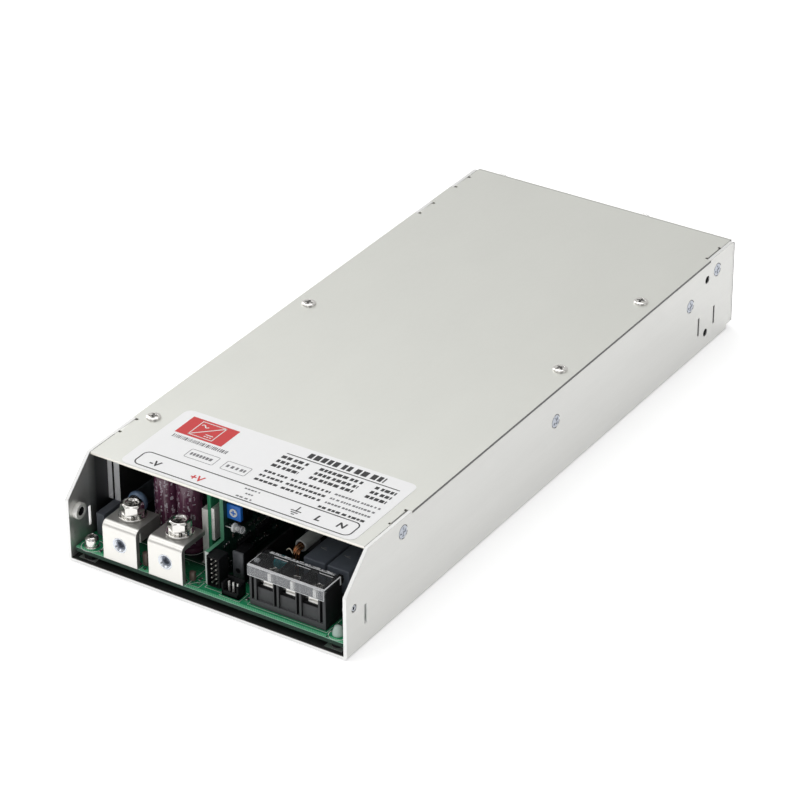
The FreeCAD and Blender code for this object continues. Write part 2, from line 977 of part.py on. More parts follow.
def terminal(place, bolt_place, wing_side):
    """Bent plate that stands on the board, with a turned-down wing on one side."""
    centre = across(place)
    span = around(centre, terminal_width)
    top = board_top + terminal_height
    rear_edge = board_front + terminal_depth
    inside = terminal_bend - terminal_plate
    bend = prism("x", span, [
        (board_front, board_top, 0.0),
        (board_front, top, terminal_bend),
        (rear_edge, top, 0.0),
        (rear_edge, top - terminal_plate, 0.0),
        (board_front + terminal_plate, top - terminal_plate, inside),
        (board_front + terminal_plate, board_top, 0.0),
    ])
    outer = centre + wing_side * terminal_width / 2
    inner = outer - wing_side * terminal_wing
    wing = block((min(outer, inner), max(outer, inner)), (board_front + terminal_bend, rear_edge),
                 (top - terminal_wing_drop, top - terminal_plate))
    nut_start = (centre, board_front, board_top + terminal_nut_z)
    nut_hole = stud(terminal_nut, nut_start, (0, 1, 0), terminal_plate, bore_sides)
    bolt_start = (across(bolt_place), board_front + bolt_setback, top)
    bolt = stud(bolt_hole, bolt_start, (0, 0, -1), terminal_plate, screw_sides)
    return fused([bend, wing]).cut([nut_hole, bolt])


def terminal_nuts():
    nuts = []
    for place in terminal_places:
        start = (across(place), board_front, board_top + terminal_nut_z)
        bush = stud(terminal_nut, start, (0, 1, 0), terminal_nut_length, bore_sides)
        nuts.append(bush.cut(rod(terminal_nut_bore, start, (0, 1, 0), terminal_nut_length)))
    return Part.makeCompound(nuts)


def bolt_stack():
    """Heights of the washers and the bolt head on the terminal plate."""
    plate = board_top + terminal_height
    flat = plate + flat_washer_thickness
    return plate, flat, flat + spring_washer_thickness


def washers(diameter, low, high, split):
    pieces = []
    for place in bolt_places:
        start = (across(place), board_front + bolt_setback, low)
        washer = ring(diameter, bolt_hole, start, (0, 0, 1), high - low, ring_sides)
        if split > 0:
            gap = block((start[0], start[0] + diameter), around(start[1], split), (low, high))
            washer = washer.cut(gap)
        pieces.append(washer)
    return Part.makeCompound(pieces)


def output_bolts():
    """Hexagon bolts with a dished head."""
    head_low = bolt_stack()[2]
    head_top = head_low + bolt_head
    bolts = []
    for place in bolt_places:
        x = across(place)
        y = board_front + bolt_setback
        head = hex_prism(bolt_flats, x, y, (head_low, head_top))
        dish = stud(bolt_cup, (x, y, head_top), (0, 0, -1), bolt_cup_depth, ring_sides)
        reach = head_low - bolt_stack()[0] + bolt_reach
        shank = stud(bolt_shank, (x, y, head_low), (0, 0, -1), reach, screw_sides)
        bolts.append(fused([head.cut(dish), shank]))
    return Part.makeCompound(bolts)


def output_nuts():
    """Press-in nuts under the terminal plates."""
    high = board_top + terminal_height - terminal_plate
    nuts = []
    for place in bolt_places:
        start = (across(place), board_front + bolt_setback, high)
        nuts.append(ring(bolt_nut, bolt_hole, start, (0, 0, -1), bolt_nut_height, screw_sides))
    return Part.makeCompound(nuts)


def heatsink(start, length, side):
    """Extruded bar: one web on the wall, one plate for the transistors and a rail under the cover."""
    wall = inner_half
    web = wall - heatsink_web
    back = web - heatsink_gap
    face = heatsink_face
    rail_low = heatsink_rail_under
    rail_in = heatsink_screw_x - heatsink_rail_width / 2
    corners = square_corners([
        (wall, heatsink_under),
        (wall, heatsink_top),
        (rail_in, heatsink_top),
        (rail_in, rail_low),
        (face, rail_low),
        (face, heatsink_under),
        (back, heatsink_under),
        (back, rail_low),
        (web, rail_low),
        (web, heatsink_under),
    ])
    bar = prism("y", (start, start + length), corners)
    cuts = []
    for place in flange_places(side):
        window = (case_height - flange_depth - flange_relief, case_height)
        cuts.append(block((back, wall), around(place, 2 * flange_reach), window))
    for x, y in cover_screw_places():
        if x * side > 0:
            depth = cover_screw_reach + cover_sheet
            cuts.append(screw_hole(cover_screw_shank, (abs(x), y, heatsink_top), (0, 0, -1), depth))
    for y, z in side_screw_places(side):
        if y not in flange_places(side):
            cuts.append(screw_hole(side_screw_shank, (wall, y, z), (-1, 0, 0), side_screw_reach))
    return on_side(bar.cut(cuts), side)


def heatsink_rails():
    """Dark insulating bars between the board and the heatsinks."""
    inner = heatsink_face - support_rail_proud
    span = (inner, inner + support_rail_width)
    heights = (board_top, heatsink_under)
    left = block(span, (left_heatsink - support_rail_lead, left_heatsink + left_heatsink_length), heights)
    right = block(span, (right_heatsink, right_heatsink + right_heatsink_length), heights)
    return Part.makeCompound([mirrored(left), right])


def transistor(y):
    """Flat power package on the right-hand heatsink plate, with its leads down to the board."""
    low = heatsink_under + transistor_lift
    x = (heatsink_face - transistor_thickness, heatsink_face)
    body = block(x, around(y, transistor_width), (low, heatsink_rail_under - transistor_drop))
    lead_x = around(heatsink_face - transistor_thickness / 2, transistor_lead)
    leads = block(lead_x, around(y, transistor_lead_width), (board_top, low))
    return fused([body, leads])


def power_transistors():
    pieces = []
    for i in range(transistor_count):
        left_y = left_heatsink + left_transistor_start + i * left_transistor_pitch
        right_y = right_heatsink + right_transistor_start + i * right_transistor_pitch
        pieces += [mirrored(transistor(left_y)), transistor(right_y)]
    return Part.makeCompound(pieces)


def bridge_rectifier():
    low = heatsink_under + transistor_lift
    x = (heatsink_face - bridge_thickness, heatsink_face)
    y = right_heatsink + bridge_start
    body = block(x, around(y, bridge_width), (low, heatsink_rail_under - bridge_drop))
    lead_x = around(heatsink_face - bridge_thickness / 2, transistor_lead)
    leads = []
    for i in range(bridge_lead_count):
        lead_y = y + (i - (bridge_lead_count - 1) / 2) * bridge_lead_pitch
        leads.append(block(lead_x, around(lead_y, transistor_lead), (board_top, low)))
    return fused([body] + leads)


def upright_can(x, y):
    """Sleeved can with a bevelled top edge."""
    height = headroom - output_can_drop
    steps = [
        (0, output_can),
        (height - output_can_bevel, output_can),
        (height, output_can - 2 * output_can_bevel),
    ]
    return turned((x, y, board_top), (0, 0, 1), steps, ring_sides)


def output_capacitors():
    pair = around(across(output_can_place), output_can_pitch)
    return Part.makeCompound([upright_can(x, front + output_can_from_front) for x in pair])


def upright_disc(diameter, thickness, x, y, z):
    """Coated disc that stands on two leads, facing the front."""
    disc = stud(diameter, (x, y - thickness / 2, z), (0, 1, 0), thickness, ring_sides)
    leads = []
    for step in (-diameter / 4, diameter / 4):
        leads.append(block(around(x + step, disc_lead), around(y, disc_lead), (board_top, z)))
    return fused([disc] + leads)


def disc_capacitor_piece():
    return upright_disc(disc_capacitor, disc_capacitor_thickness, across(disc_capacitor_place),
                        front + disc_capacitor_from_front, board_top + disc_capacitor_z)


def varistor_piece():
    return upright_disc(varistor, varistor_thickness, varistor_x,
                        front + varistor_from_front, board_top + varistor_z)


def rectifier_board():
    start = front + rectifier_from_front
    return block(around(across(rectifier_place), rectifier_sheet), (start, start + rectifier_length),
                 (board_top, cover_under - rectifier_headroom))


def rectifier_bars():
    """Plated bars on both faces of the rectifier board; the left one stands on the main board."""
    start = front + rectifier_from_front
    face = across(rectifier_place) - rectifier_sheet / 2
    run = (start, start + bar_length)
    left = block((face - bar_thickness, face), run, (board_top, board_top + left_bar_height))
    face = across(rectifier_place) + rectifier_sheet / 2
    low = board_top + right_bar_base
    right = block((face, face + bar_thickness / 2), run, (low, low + right_bar_height))
    return Part.makeCompound([left, right])


def cored(place, size, side):
    """Ferrite core with a winding that stands proud at both open sides."""
    x = beside(size[0], side)
    y = middle(place)
    z = (board_top, board_top + size[2])
    core = block(around(x, size[0]), around(y, size[1] - 2 * winding_proud), z)
    coil_z = (board_top + core_limb / 2, board_top + size[2] - core_limb / 2)
    coil_x = size[0] - 2 * core_limb
    coil = block(around(x, coil_x), around(y, size[1]), coil_z)
    return fused([core, coil])


def main_transformer():
    return cored(transformer_share, transformer_size, -1)


def output_inductor():
    return cored(inductor_share, inductor_size, -1)


def boost_choke():
    return cored(boost_share, boost_size, 1)


def line_filter():
    """Two windings on the limbs of a window core."""
    x = beside(filter_size[0], 1)
    y = middle(filter_share)
    z = (board_top, board_top + filter_size[2])
    core = block(around(x, filter_size[0]), around(y, filter_core), z)
    window_z = (z[0] + filter_limb, z[1] - filter_limb)
    window = block(around(x, filter_window), around(y, filter_size[1]), window_z)
    coils = []
    for side in (-1, 1):
        limb = x + side * (filter_size[0] + filter_window) / 4
        coil_z = (z[0] + filter_limb / 2, z[1] - filter_limb / 2)
        coils.append(block(around(limb, filter_limb), around(y, filter_size[1]), coil_z))
    return fused([core.cut(window)] + coils)


def filter_capacitor():
    size = film_capacitor_size
    x = beside(size[0], 1)
    y = middle(film_capacitor_share)
    return block(around(x, size[0]), around(y, size[1]), (board_top, board_top + size[2]))


def bulk_capacitors():
    """Large cans lying along the case."""
    z = board_top + can_lift + can / 2
    y = middle(can_share)
    pieces = []
    for i in range(can_count):
        x = (i - (can_count - 1) / 2) * can_pitch
        pieces.append(stud(can, (x, y, z), (0, 1, 0), can_length, ring_sides))
    return Part.makeCompound(pieces)


def control_board():
    """Upright board, cut back above the header."""
    corners = square_corners([
        (control_front, board_top),
        (control_front, board_top + control_step_z),
        (control_upper, board_top + control_step_z),
        (control_upper, control_top),
        (control_front + control_length, control_top),
        (control_front + control_length, board_top),
    ])
    return prism("x", around(across(control_place), control_sheet), corners)


def control_face():
    return across(control_place) + control_sheet / 2


def control_chips():
    length, height, width = chip_size
    x = (control_face(), control_face() + height)
    pieces = []
    for column in range(chip_columns):
        for row in range(chip_rows):
            y = control_upper + chip_start + chip_pitch * column
            z = board_top + chip_base + chip_row_pitch * row
            pieces.append(block(x, around(y, length), around(z, width)))
    return Part.makeCompound(pieces)


def header_span():
    return (control_face(), control_face() + header_width)


def signal_header():
    """Two-row shrouded header that faces the front."""
    low = board_top + header_base_z
    start = control_front - header_nose
    body = block(header_span(), (start, start + header_depth), (low, low + header_height))
    x = header_span()
    hollow = block((x[0] + header_wall, x[1] - header_wall), (start, start + header_depth / 2),
                   (low + header_wall, low + header_height - header_wall))
    return body.cut(hollow)


def signal_pins():
    middle_x = sum(header_span()) / 2
    middle_z = board_top + header_base_z + header_height / 2
    start = control_front - header_nose + header_depth / 2
    pieces = []
    for column in range(pin_columns):
        for row in range(pin_rows):
            x = middle_x + (column - (pin_columns - 1) / 2) * pin_pitch
            z = middle_z + (row - (pin_rows - 1) / 2) * pin_pitch
            pieces.append(block(around(x, pin), (start - header_depth / 2 + pin, start), around(z, pin)))
    return Part.makeCompound(pieces)


def trimmer_spot():
    """Middle of the trimmer's front face."""
    x = control_face() + trimmer_size / 2
    return x, control_upper + trimmer_nose, control_top - trimmer_drop - trimmer_size / 2


def trimmer_body():
    x, y, z = trimmer_spot()
    body = block(around(x, trimmer_size), (y, y + trimmer_depth), around(z, trimmer_size))
    return body.cut(bearing(trimmer_rotor, trimmer_clearance, (x, y, z), (0, 1, 0), trimmer_rotor_depth))


def trimmer_rotor_piece():
    """Slotted rotor that turns in the trimmer's front."""
    x, y, z = trimmer_spot()
    start = y - trimmer_rotor_stand
    depth = trimmer_rotor_stand + trimmer_rotor_depth - trimmer_clearance
    body = rod(trimmer_rotor, (x, start, z), (0, 1, 0), depth)
    slot = block(around(x, trimmer_rotor), (start, start + trimmer_slot_depth), around(z, trimmer_slot))
    return body.cut(slot)


def status_led():
    """Clear indicator that points away from the control board, on two leads."""
    y = control_upper + led_nose
    z = trimmer_spot()[2] - trimmer_size / 2 - led_drop
    start = control_face() + led_lead
    steps = [
        (0, led_flange),
        (led_flange_thickness, led_flange),
        (led_flange_thickness, led),
        (led_body, led),
        (led_body + led_shoulder[0], led_shoulder[1]),
        (led_body + led_tip[0], led_tip[1]),
    ]
    body = turned((start, y, z), (1, 0, 0), steps, screw_sides)
    leads = []
    for lead_y in around(y, led_lead_pitch):
        span = (control_face(), start)
        leads.append(block(span, around(lead_y, led_lead_wire), around(z, led_lead_wire)))
    return fused([body] + leads)


def sense_connector():
    x = around(across(sense_place), sense_size[0])
    start = front + sense_from_front
    top = board_top + sense_size[2]
    body = block(x, (start, start + sense_size[1]), (board_top, top))
    slot = block(around(across(sense_place), sense_slot[0]), (start, start + sense_slot[1]),
                 around(board_top + sense_size[2] / 2, sense_slot[2]))
    return body.cut(slot)


def aux_header():
    start = front + aux_from_front
    x = around(across(aux_place), aux_size[0])
    top = board_top + aux_size[2]
    body = block(x, (start, start + aux_size[1]), (board_top, top))
    hollow = block((x[0] + aux_wall, x[1] - aux_wall), (start + aux_wall, start + aux_size[1] - aux_wall),
                   (board_top + aux_wall, top))
    return body.cut(hollow)


def aux_pins():
    y = front + aux_from_front + aux_size[1] / 2
    low = board_top + aux_wall
    pieces = []
    for i in range(aux_pin_count):
        x = across(aux_place) + (i - (aux_pin_count - 1) / 2) * aux_pin_pitch
        pieces.append(block(around(x, aux_pin), around(y, aux_pin), (low, board_top + aux_pin_height)))
    return Part.makeCompound(pieces)


def barrier():
    """Thin sheet that stands on the board up to the parts in the middle."""
    run = (front + barrier_from_front, middle_start - barrier_rear_gap)
    return block(around(across(barrier_place), barrier_sheet), run, (board_top, board_top + barrier_height))


def pole_places():
    centre = across(block_place)
    return [centre + (i - (pole_count - 1) / 2) * pole_pitch for i in range(pole_count)]


def block_width():
    return (pole_count - 1) * pole_pitch + pole_width + 2 * block_end_wall


def hinge_ear(x):
    """Lug on the end wall, before its pin hole is made."""
    bevel = ear_radius * (2 - math.sqrt(2))
    corners = square_corners([
        (hinge_y - ear_radius, block_top - ear_width),
        (hinge_y - ear_radius, hinge_z + ear_radius - bevel),
        (hinge_y - ear_radius + bevel, hinge_z + ear_radius),
        (hinge_y + ear_radius - bevel, hinge_z + ear_radius),
        (hinge_y + ear_radius, hinge_z + ear_radius - bevel),
        (hinge_y + ear_radius, block_top - ear_width),
    ])
    return prism("x", x, corners)


def input_block():
    """Moulded block: open poles between double partitions, panels in front, hinge ears behind."""
    centre = across(block_place)
    span = around(centre, block_width())
    body = block(span, (block_front, block_rear), (board_top, block_top))
    cuts = []
    for x in pole_places():
        cuts.append(block(around(x, pole_width), (block_front, block_rear - block_back_wall),
                          (pole_floor, block_top)))
        cuts.append(block(around(x, pole_width), (block_front, block_front + panel_depth),
                          (board_top + panel_margin, pole_floor - panel_margin)))
        start = (x, input_screw_y, pole_floor)
        cuts.append(stud(input_screw_hole, start, (0, 0, -1), input_screw_reach, screw_sides))
    for x in pole_places()[:-1]:
        cuts.append(block(around(x + pole_pitch / 2, groove_width), (block_front, block_front + groove_depth),
                          (board_top, block_top)))
    ears = [hinge_ear((span[0], span[0] + ear_width)), hinge_ear((span[1] - ear_width, span[1]))]
    bore = bearing(hinge_pin, hinge_clearance, (span[0], hinge_y, hinge_z), (1, 0, 0), block_width())
    return fused([body.cut(cuts)] + ears).cut(bore)


def input_contacts():
    """Forked plates under the clamp plates."""
    pieces = []
    for x in pole_places():
        plate = block(around(x, clamp_size), (block_front + panel_depth, block_rear - block_back_wall),
                      (pole_floor, pole_floor + contact_thickness))
        fork = block(around(x, contact_fork), (input_screw_y - contact_fork / 2, block_rear),
                     (pole_floor, pole_floor + contact_thickness))
        pieces.append(plate.cut(fork))
    return Part.makeCompound(pieces)


def input_clamps():
    low = pole_floor + contact_thickness
    pieces = []
    for x in pole_places():
        plate = block(around(x, clamp_size), around(input_screw_y, clamp_size), (low, low + clamp_thickness))
        hole = block(around(x, clamp_hole), around(input_screw_y, clamp_hole), (low, low + clamp_thickness))
        pieces.append(plate.cut(hole))
    return Part.makeCompound(pieces)


def input_screws():
    seat = pole_floor + contact_thickness + clamp_thickness
    reach = contact_thickness + clamp_thickness + input_screw_reach - screw_clearance
    screws = []
    for x in pole_places():
        screws.append(pan_screw(input_screw_head, input_screw_head_height, input_screw_shank, reach,
                                (x, input_screw_y, seat), (0, 0, -1)))
    return Part.makeCompound(screws)


def input_cover():
    """Clear lid over the poles, hinged on a rod between the ears, with a front lip."""
    centre = across(block_place)
    outer = around(centre, block_width() + 2 * lid_overhang)
    between = around(centre, block_width() - 2 * ear_width - 2 * lid_side_gap)
    top = hinge_z + hinge_pin / 2
    sheet_z = (top - lid_sheet, top)
    front_edge = block_front - lid_front_gap - lid_sheet
    ear_front = hinge_y - ear_radius - lid_side_gap
    plate = block(outer, (front_edge, ear_front), sheet_z)
    tongue = block(between, (front_edge, hinge_y), sheet_z)
    lip = block(outer, (front_edge, front_edge + lid_sheet), (top - lid_lip, top))
    pin_start = (centre - block_width() / 2, hinge_y, hinge_z)
    pin_rod = rod(hinge_pin, pin_start, (1, 0, 0), block_width())
    return fused([plate, tongue, lip, pin_rod])


def relays():
    start = front + relay_from_front
    pieces = []
    for i in range(relay_count):
        high = inner_half - relay_from_wall - i * relay_pitch
        pieces.append(block((high - relay_size[0], high), (start, start + relay_size[1]),
                            (board_top, board_top + relay_size[2])))
    return Part.makeCompound(pieces)


def choke_sleeve():
    """Tube over the choke's lead, up to the core of the line filter."""
    start = (sleeve_x, front + sleeve_from_front, board_top + sleeve_z)
    length = middle(filter_share) - filter_core / 2 - sleeve_gap - start[1]
    return ring(sleeve_outer, sleeve_bore, start, (0, 1, 0), length, screw_sides)


def choke_lead():
    """Copper lead that leaves the sleeve and drops to the board."""
    y = front + sleeve_from_front - lead_overrun
    z = board_top + sleeve_z
    length = lead_overrun + lead_inside
    run = stud(lead_wire, (sleeve_x, y - lead_wire / 2, z), (0, 1, 0), length, screw_sides)
    drop = stud(lead_wire, (sleeve_x, y, board_top), (0, 0, 1), sleeve_z, screw_sides)
    return fused([run, drop])


nodes = {
    "chassis": chassis(),
    "top_cover": top_cover(),
    "rating_label": rating_label(),
    "insulating_sheet": insulating_sheet(),
    "cover_screws": cover_screws(),
    "side_screws": side_screws(),
    "mounting_nuts": mounting_nuts(),
    "fan_screws": fan_screws(),
    "main_board": main_board(),
    "board_standoffs": board_standoffs(),
    "board_screws": board_screws(),
    "board_support": board_support(),
    "negative_terminal": terminal(terminal_places[0], bolt_places[0], 1),
    "positive_terminal": terminal(terminal_places[1], bolt_places[1], -1),
    "terminal_nuts": terminal_nuts(),
    "output_bolts": output_bolts(),
    "flat_washers": washers(flat_washer, bolt_stack()[0], bolt_stack()[1], 0.0),
    "spring_washers": washers(spring_washer, bolt_stack()[1], bolt_stack()[2], spring_washer_split),
    "output_nuts": output_nuts(),
    "heatsink_left": heatsink(left_heatsink, left_heatsink_length, -1),
    "heatsink_right": heatsink(right_heatsink, right_heatsink_length, 1),
    "heatsink_rails": heatsink_rails(),
    "power_transistors": power_transistors(),
    "bridge_rectifier": bridge_rectifier(),
    "output_capacitors": output_capacitors(),
    "disc_capacitor": disc_capacitor_piece(),
    "rectifier_board": rectifier_board(),
    "rectifier_bars": rectifier_bars(),
    "output_inductor": output_inductor(),
    "main_transformer": main_transformer(),
    "control_board": control_board(),
    "control_chips": control_chips(),
    "signal_header": signal_header(),
    "signal_pins": signal_pins(),
    "trimmer_body": trimmer_body(),
    "trimmer_rotor": trimmer_rotor_piece(),
    "status_led": status_led(),
    "sense_connector": sense_connector(),
    "aux_header": aux_header(),
    "aux_pins": aux_pins(),
    "barrier": barrier(),
    "input_block": input_block(),
    "input_contacts": input_contacts(),
    "input_clamps": input_clamps(),
    "input_screws": input_screws(),
    "input_cover": input_cover(),
    "relays": relays(),
    "varistor": varistor_piece(),
    "choke_sleeve": choke_sleeve(),
    "choke_lead": choke_lead(),
    "line_filter": line_filter(),
    "filter_capacitor": filter_capacitor(),
    "boost_choke": boost_choke(),
    "bulk_capacitors": bulk_capacitors(),
}
for name, centre in fan_centres.items():
    nodes["fan_frame_" + name] = fan_frame(centre)
    nodes["fan_rotor_" + name] = fan_rotor(centre)
    nodes["fan_guard_" + name] = fan_guard(centre)

os.makedirs("parts", exist_ok=True)
for name, piece in nodes.items():
    piece.exportStep("parts/" + name + ".step")
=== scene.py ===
import math
import random

import bmesh
import bpy
from mathutils import Matrix, Vector


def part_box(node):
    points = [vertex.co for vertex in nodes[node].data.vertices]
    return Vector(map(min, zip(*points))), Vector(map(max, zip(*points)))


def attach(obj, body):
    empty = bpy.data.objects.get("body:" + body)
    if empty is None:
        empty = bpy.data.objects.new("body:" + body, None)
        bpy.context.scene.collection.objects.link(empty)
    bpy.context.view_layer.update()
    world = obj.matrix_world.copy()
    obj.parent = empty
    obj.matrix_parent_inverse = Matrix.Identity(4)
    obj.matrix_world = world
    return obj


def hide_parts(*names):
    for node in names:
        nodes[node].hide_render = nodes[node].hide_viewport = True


# Looks of an enclosed AC-DC power supply. Pieces are written in millimetres in the frame of the part.
MM = 0.001
TAU = 2 * math.pi
UP, DOWN = (0, 0, 1), (0, 0, -1)
TO_FRONT, TO_REAR, TO_RIGHT = (0, -1, 0), (0, 1, 0), (1, 0, 0)
BOTH_SIDES = (-1, 1)
QUAD = [[0, 1, 2, 3]]

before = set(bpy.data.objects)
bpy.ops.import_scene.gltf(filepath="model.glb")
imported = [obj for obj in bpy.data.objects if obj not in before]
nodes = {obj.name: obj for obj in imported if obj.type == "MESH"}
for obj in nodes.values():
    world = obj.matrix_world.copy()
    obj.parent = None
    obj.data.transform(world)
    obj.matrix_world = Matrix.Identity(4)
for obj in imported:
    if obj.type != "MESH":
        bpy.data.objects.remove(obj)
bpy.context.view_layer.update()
scene = bpy.context.scene
scene.view_settings.view_transform = "Standard"


# Materials

def fill(tree, made, inputs):
    """Sets inputs of a node: a socket is linked, anything else is the value."""
    for key, value in inputs.items():
        if isinstance(value, bpy.types.NodeSocket):
            tree.links.new(value, made.inputs[key])
        else:
            made.inputs[key].default_value = value


def node(tree, kind, inputs=None, **settings):
    made = tree.nodes.new("ShaderNode" + kind)
    for name, value in settings.items():
        setattr(made, name, value)
    fill(tree, made, inputs or {})
    return made


def calc(tree, operation, *terms):
    return node(tree, "Math", dict(enumerate(terms)), operation=operation).outputs["Value"]


def portion(tree, value, low, high):
    """How far a value is on its way from low to high, between 0 and 1."""
    return node(tree, "MapRange", {"Value": value, "From Min": low, "From Max": high}).outputs["Result"]


def shade(colour, factor):
    return tuple(min(1.0, c * factor) for c in colour) + (1.0,)


def material(name, colour, rough, metal, mottle, rough_spread, bump, stretch=(1, 1, 1), coat=0, specular=0.5,
             edge=0, alpha=1):
    """Principled material whose colour, roughness and relief vary with noise in the part's own space."""
    made = bpy.data.materials.new(name)
    made.use_nodes = True
    tree = made.node_tree
    place = node(tree, "TexCoord").outputs["Object"]
    scaled = node(tree, "Mapping", {"Vector": place, "Scale": stretch}).outputs["Vector"]
    cloud = node(tree, "TexNoise", {"Vector": scaled, "Scale": mottle[0], "Detail": 4}).outputs["Fac"]
    dark, light = shade(colour, 1 - mottle[1]), shade(colour, 1 + mottle[1])
    mix = node(tree, "Mix", {"Factor": cloud, "A": dark, "B": light}, data_type="RGBA")
    fine = node(tree, "TexNoise", {"Vector": scaled, "Scale": bump[0], "Detail": 3}).outputs["Fac"]
    smooth = max(0.02, rough - rough_spread)
    spread = node(tree, "MapRange", {"Value": fine, "To Min": smooth, "To Max": rough + rough_spread})
    relief = node(tree, "Bump", {"Height": fine, "Strength": 0.6, "Distance": bump[1] * MM})
    if edge:
        corner = node(tree, "Bevel", {"Radius": edge * MM}, samples=4)
        fill(tree, relief, {"Normal": corner.outputs["Normal"]})
    fill(tree, tree.nodes["Principled BSDF"], {
        "Base Color": mix.outputs["Result"], "Roughness": spread.outputs["Result"],
        "Normal": relief.outputs["Normal"], "Metallic": metal, "IOR": 1.5, "Specular IOR Level": specular,
        "Coat Weight": coat, "Alpha": alpha})
    return made


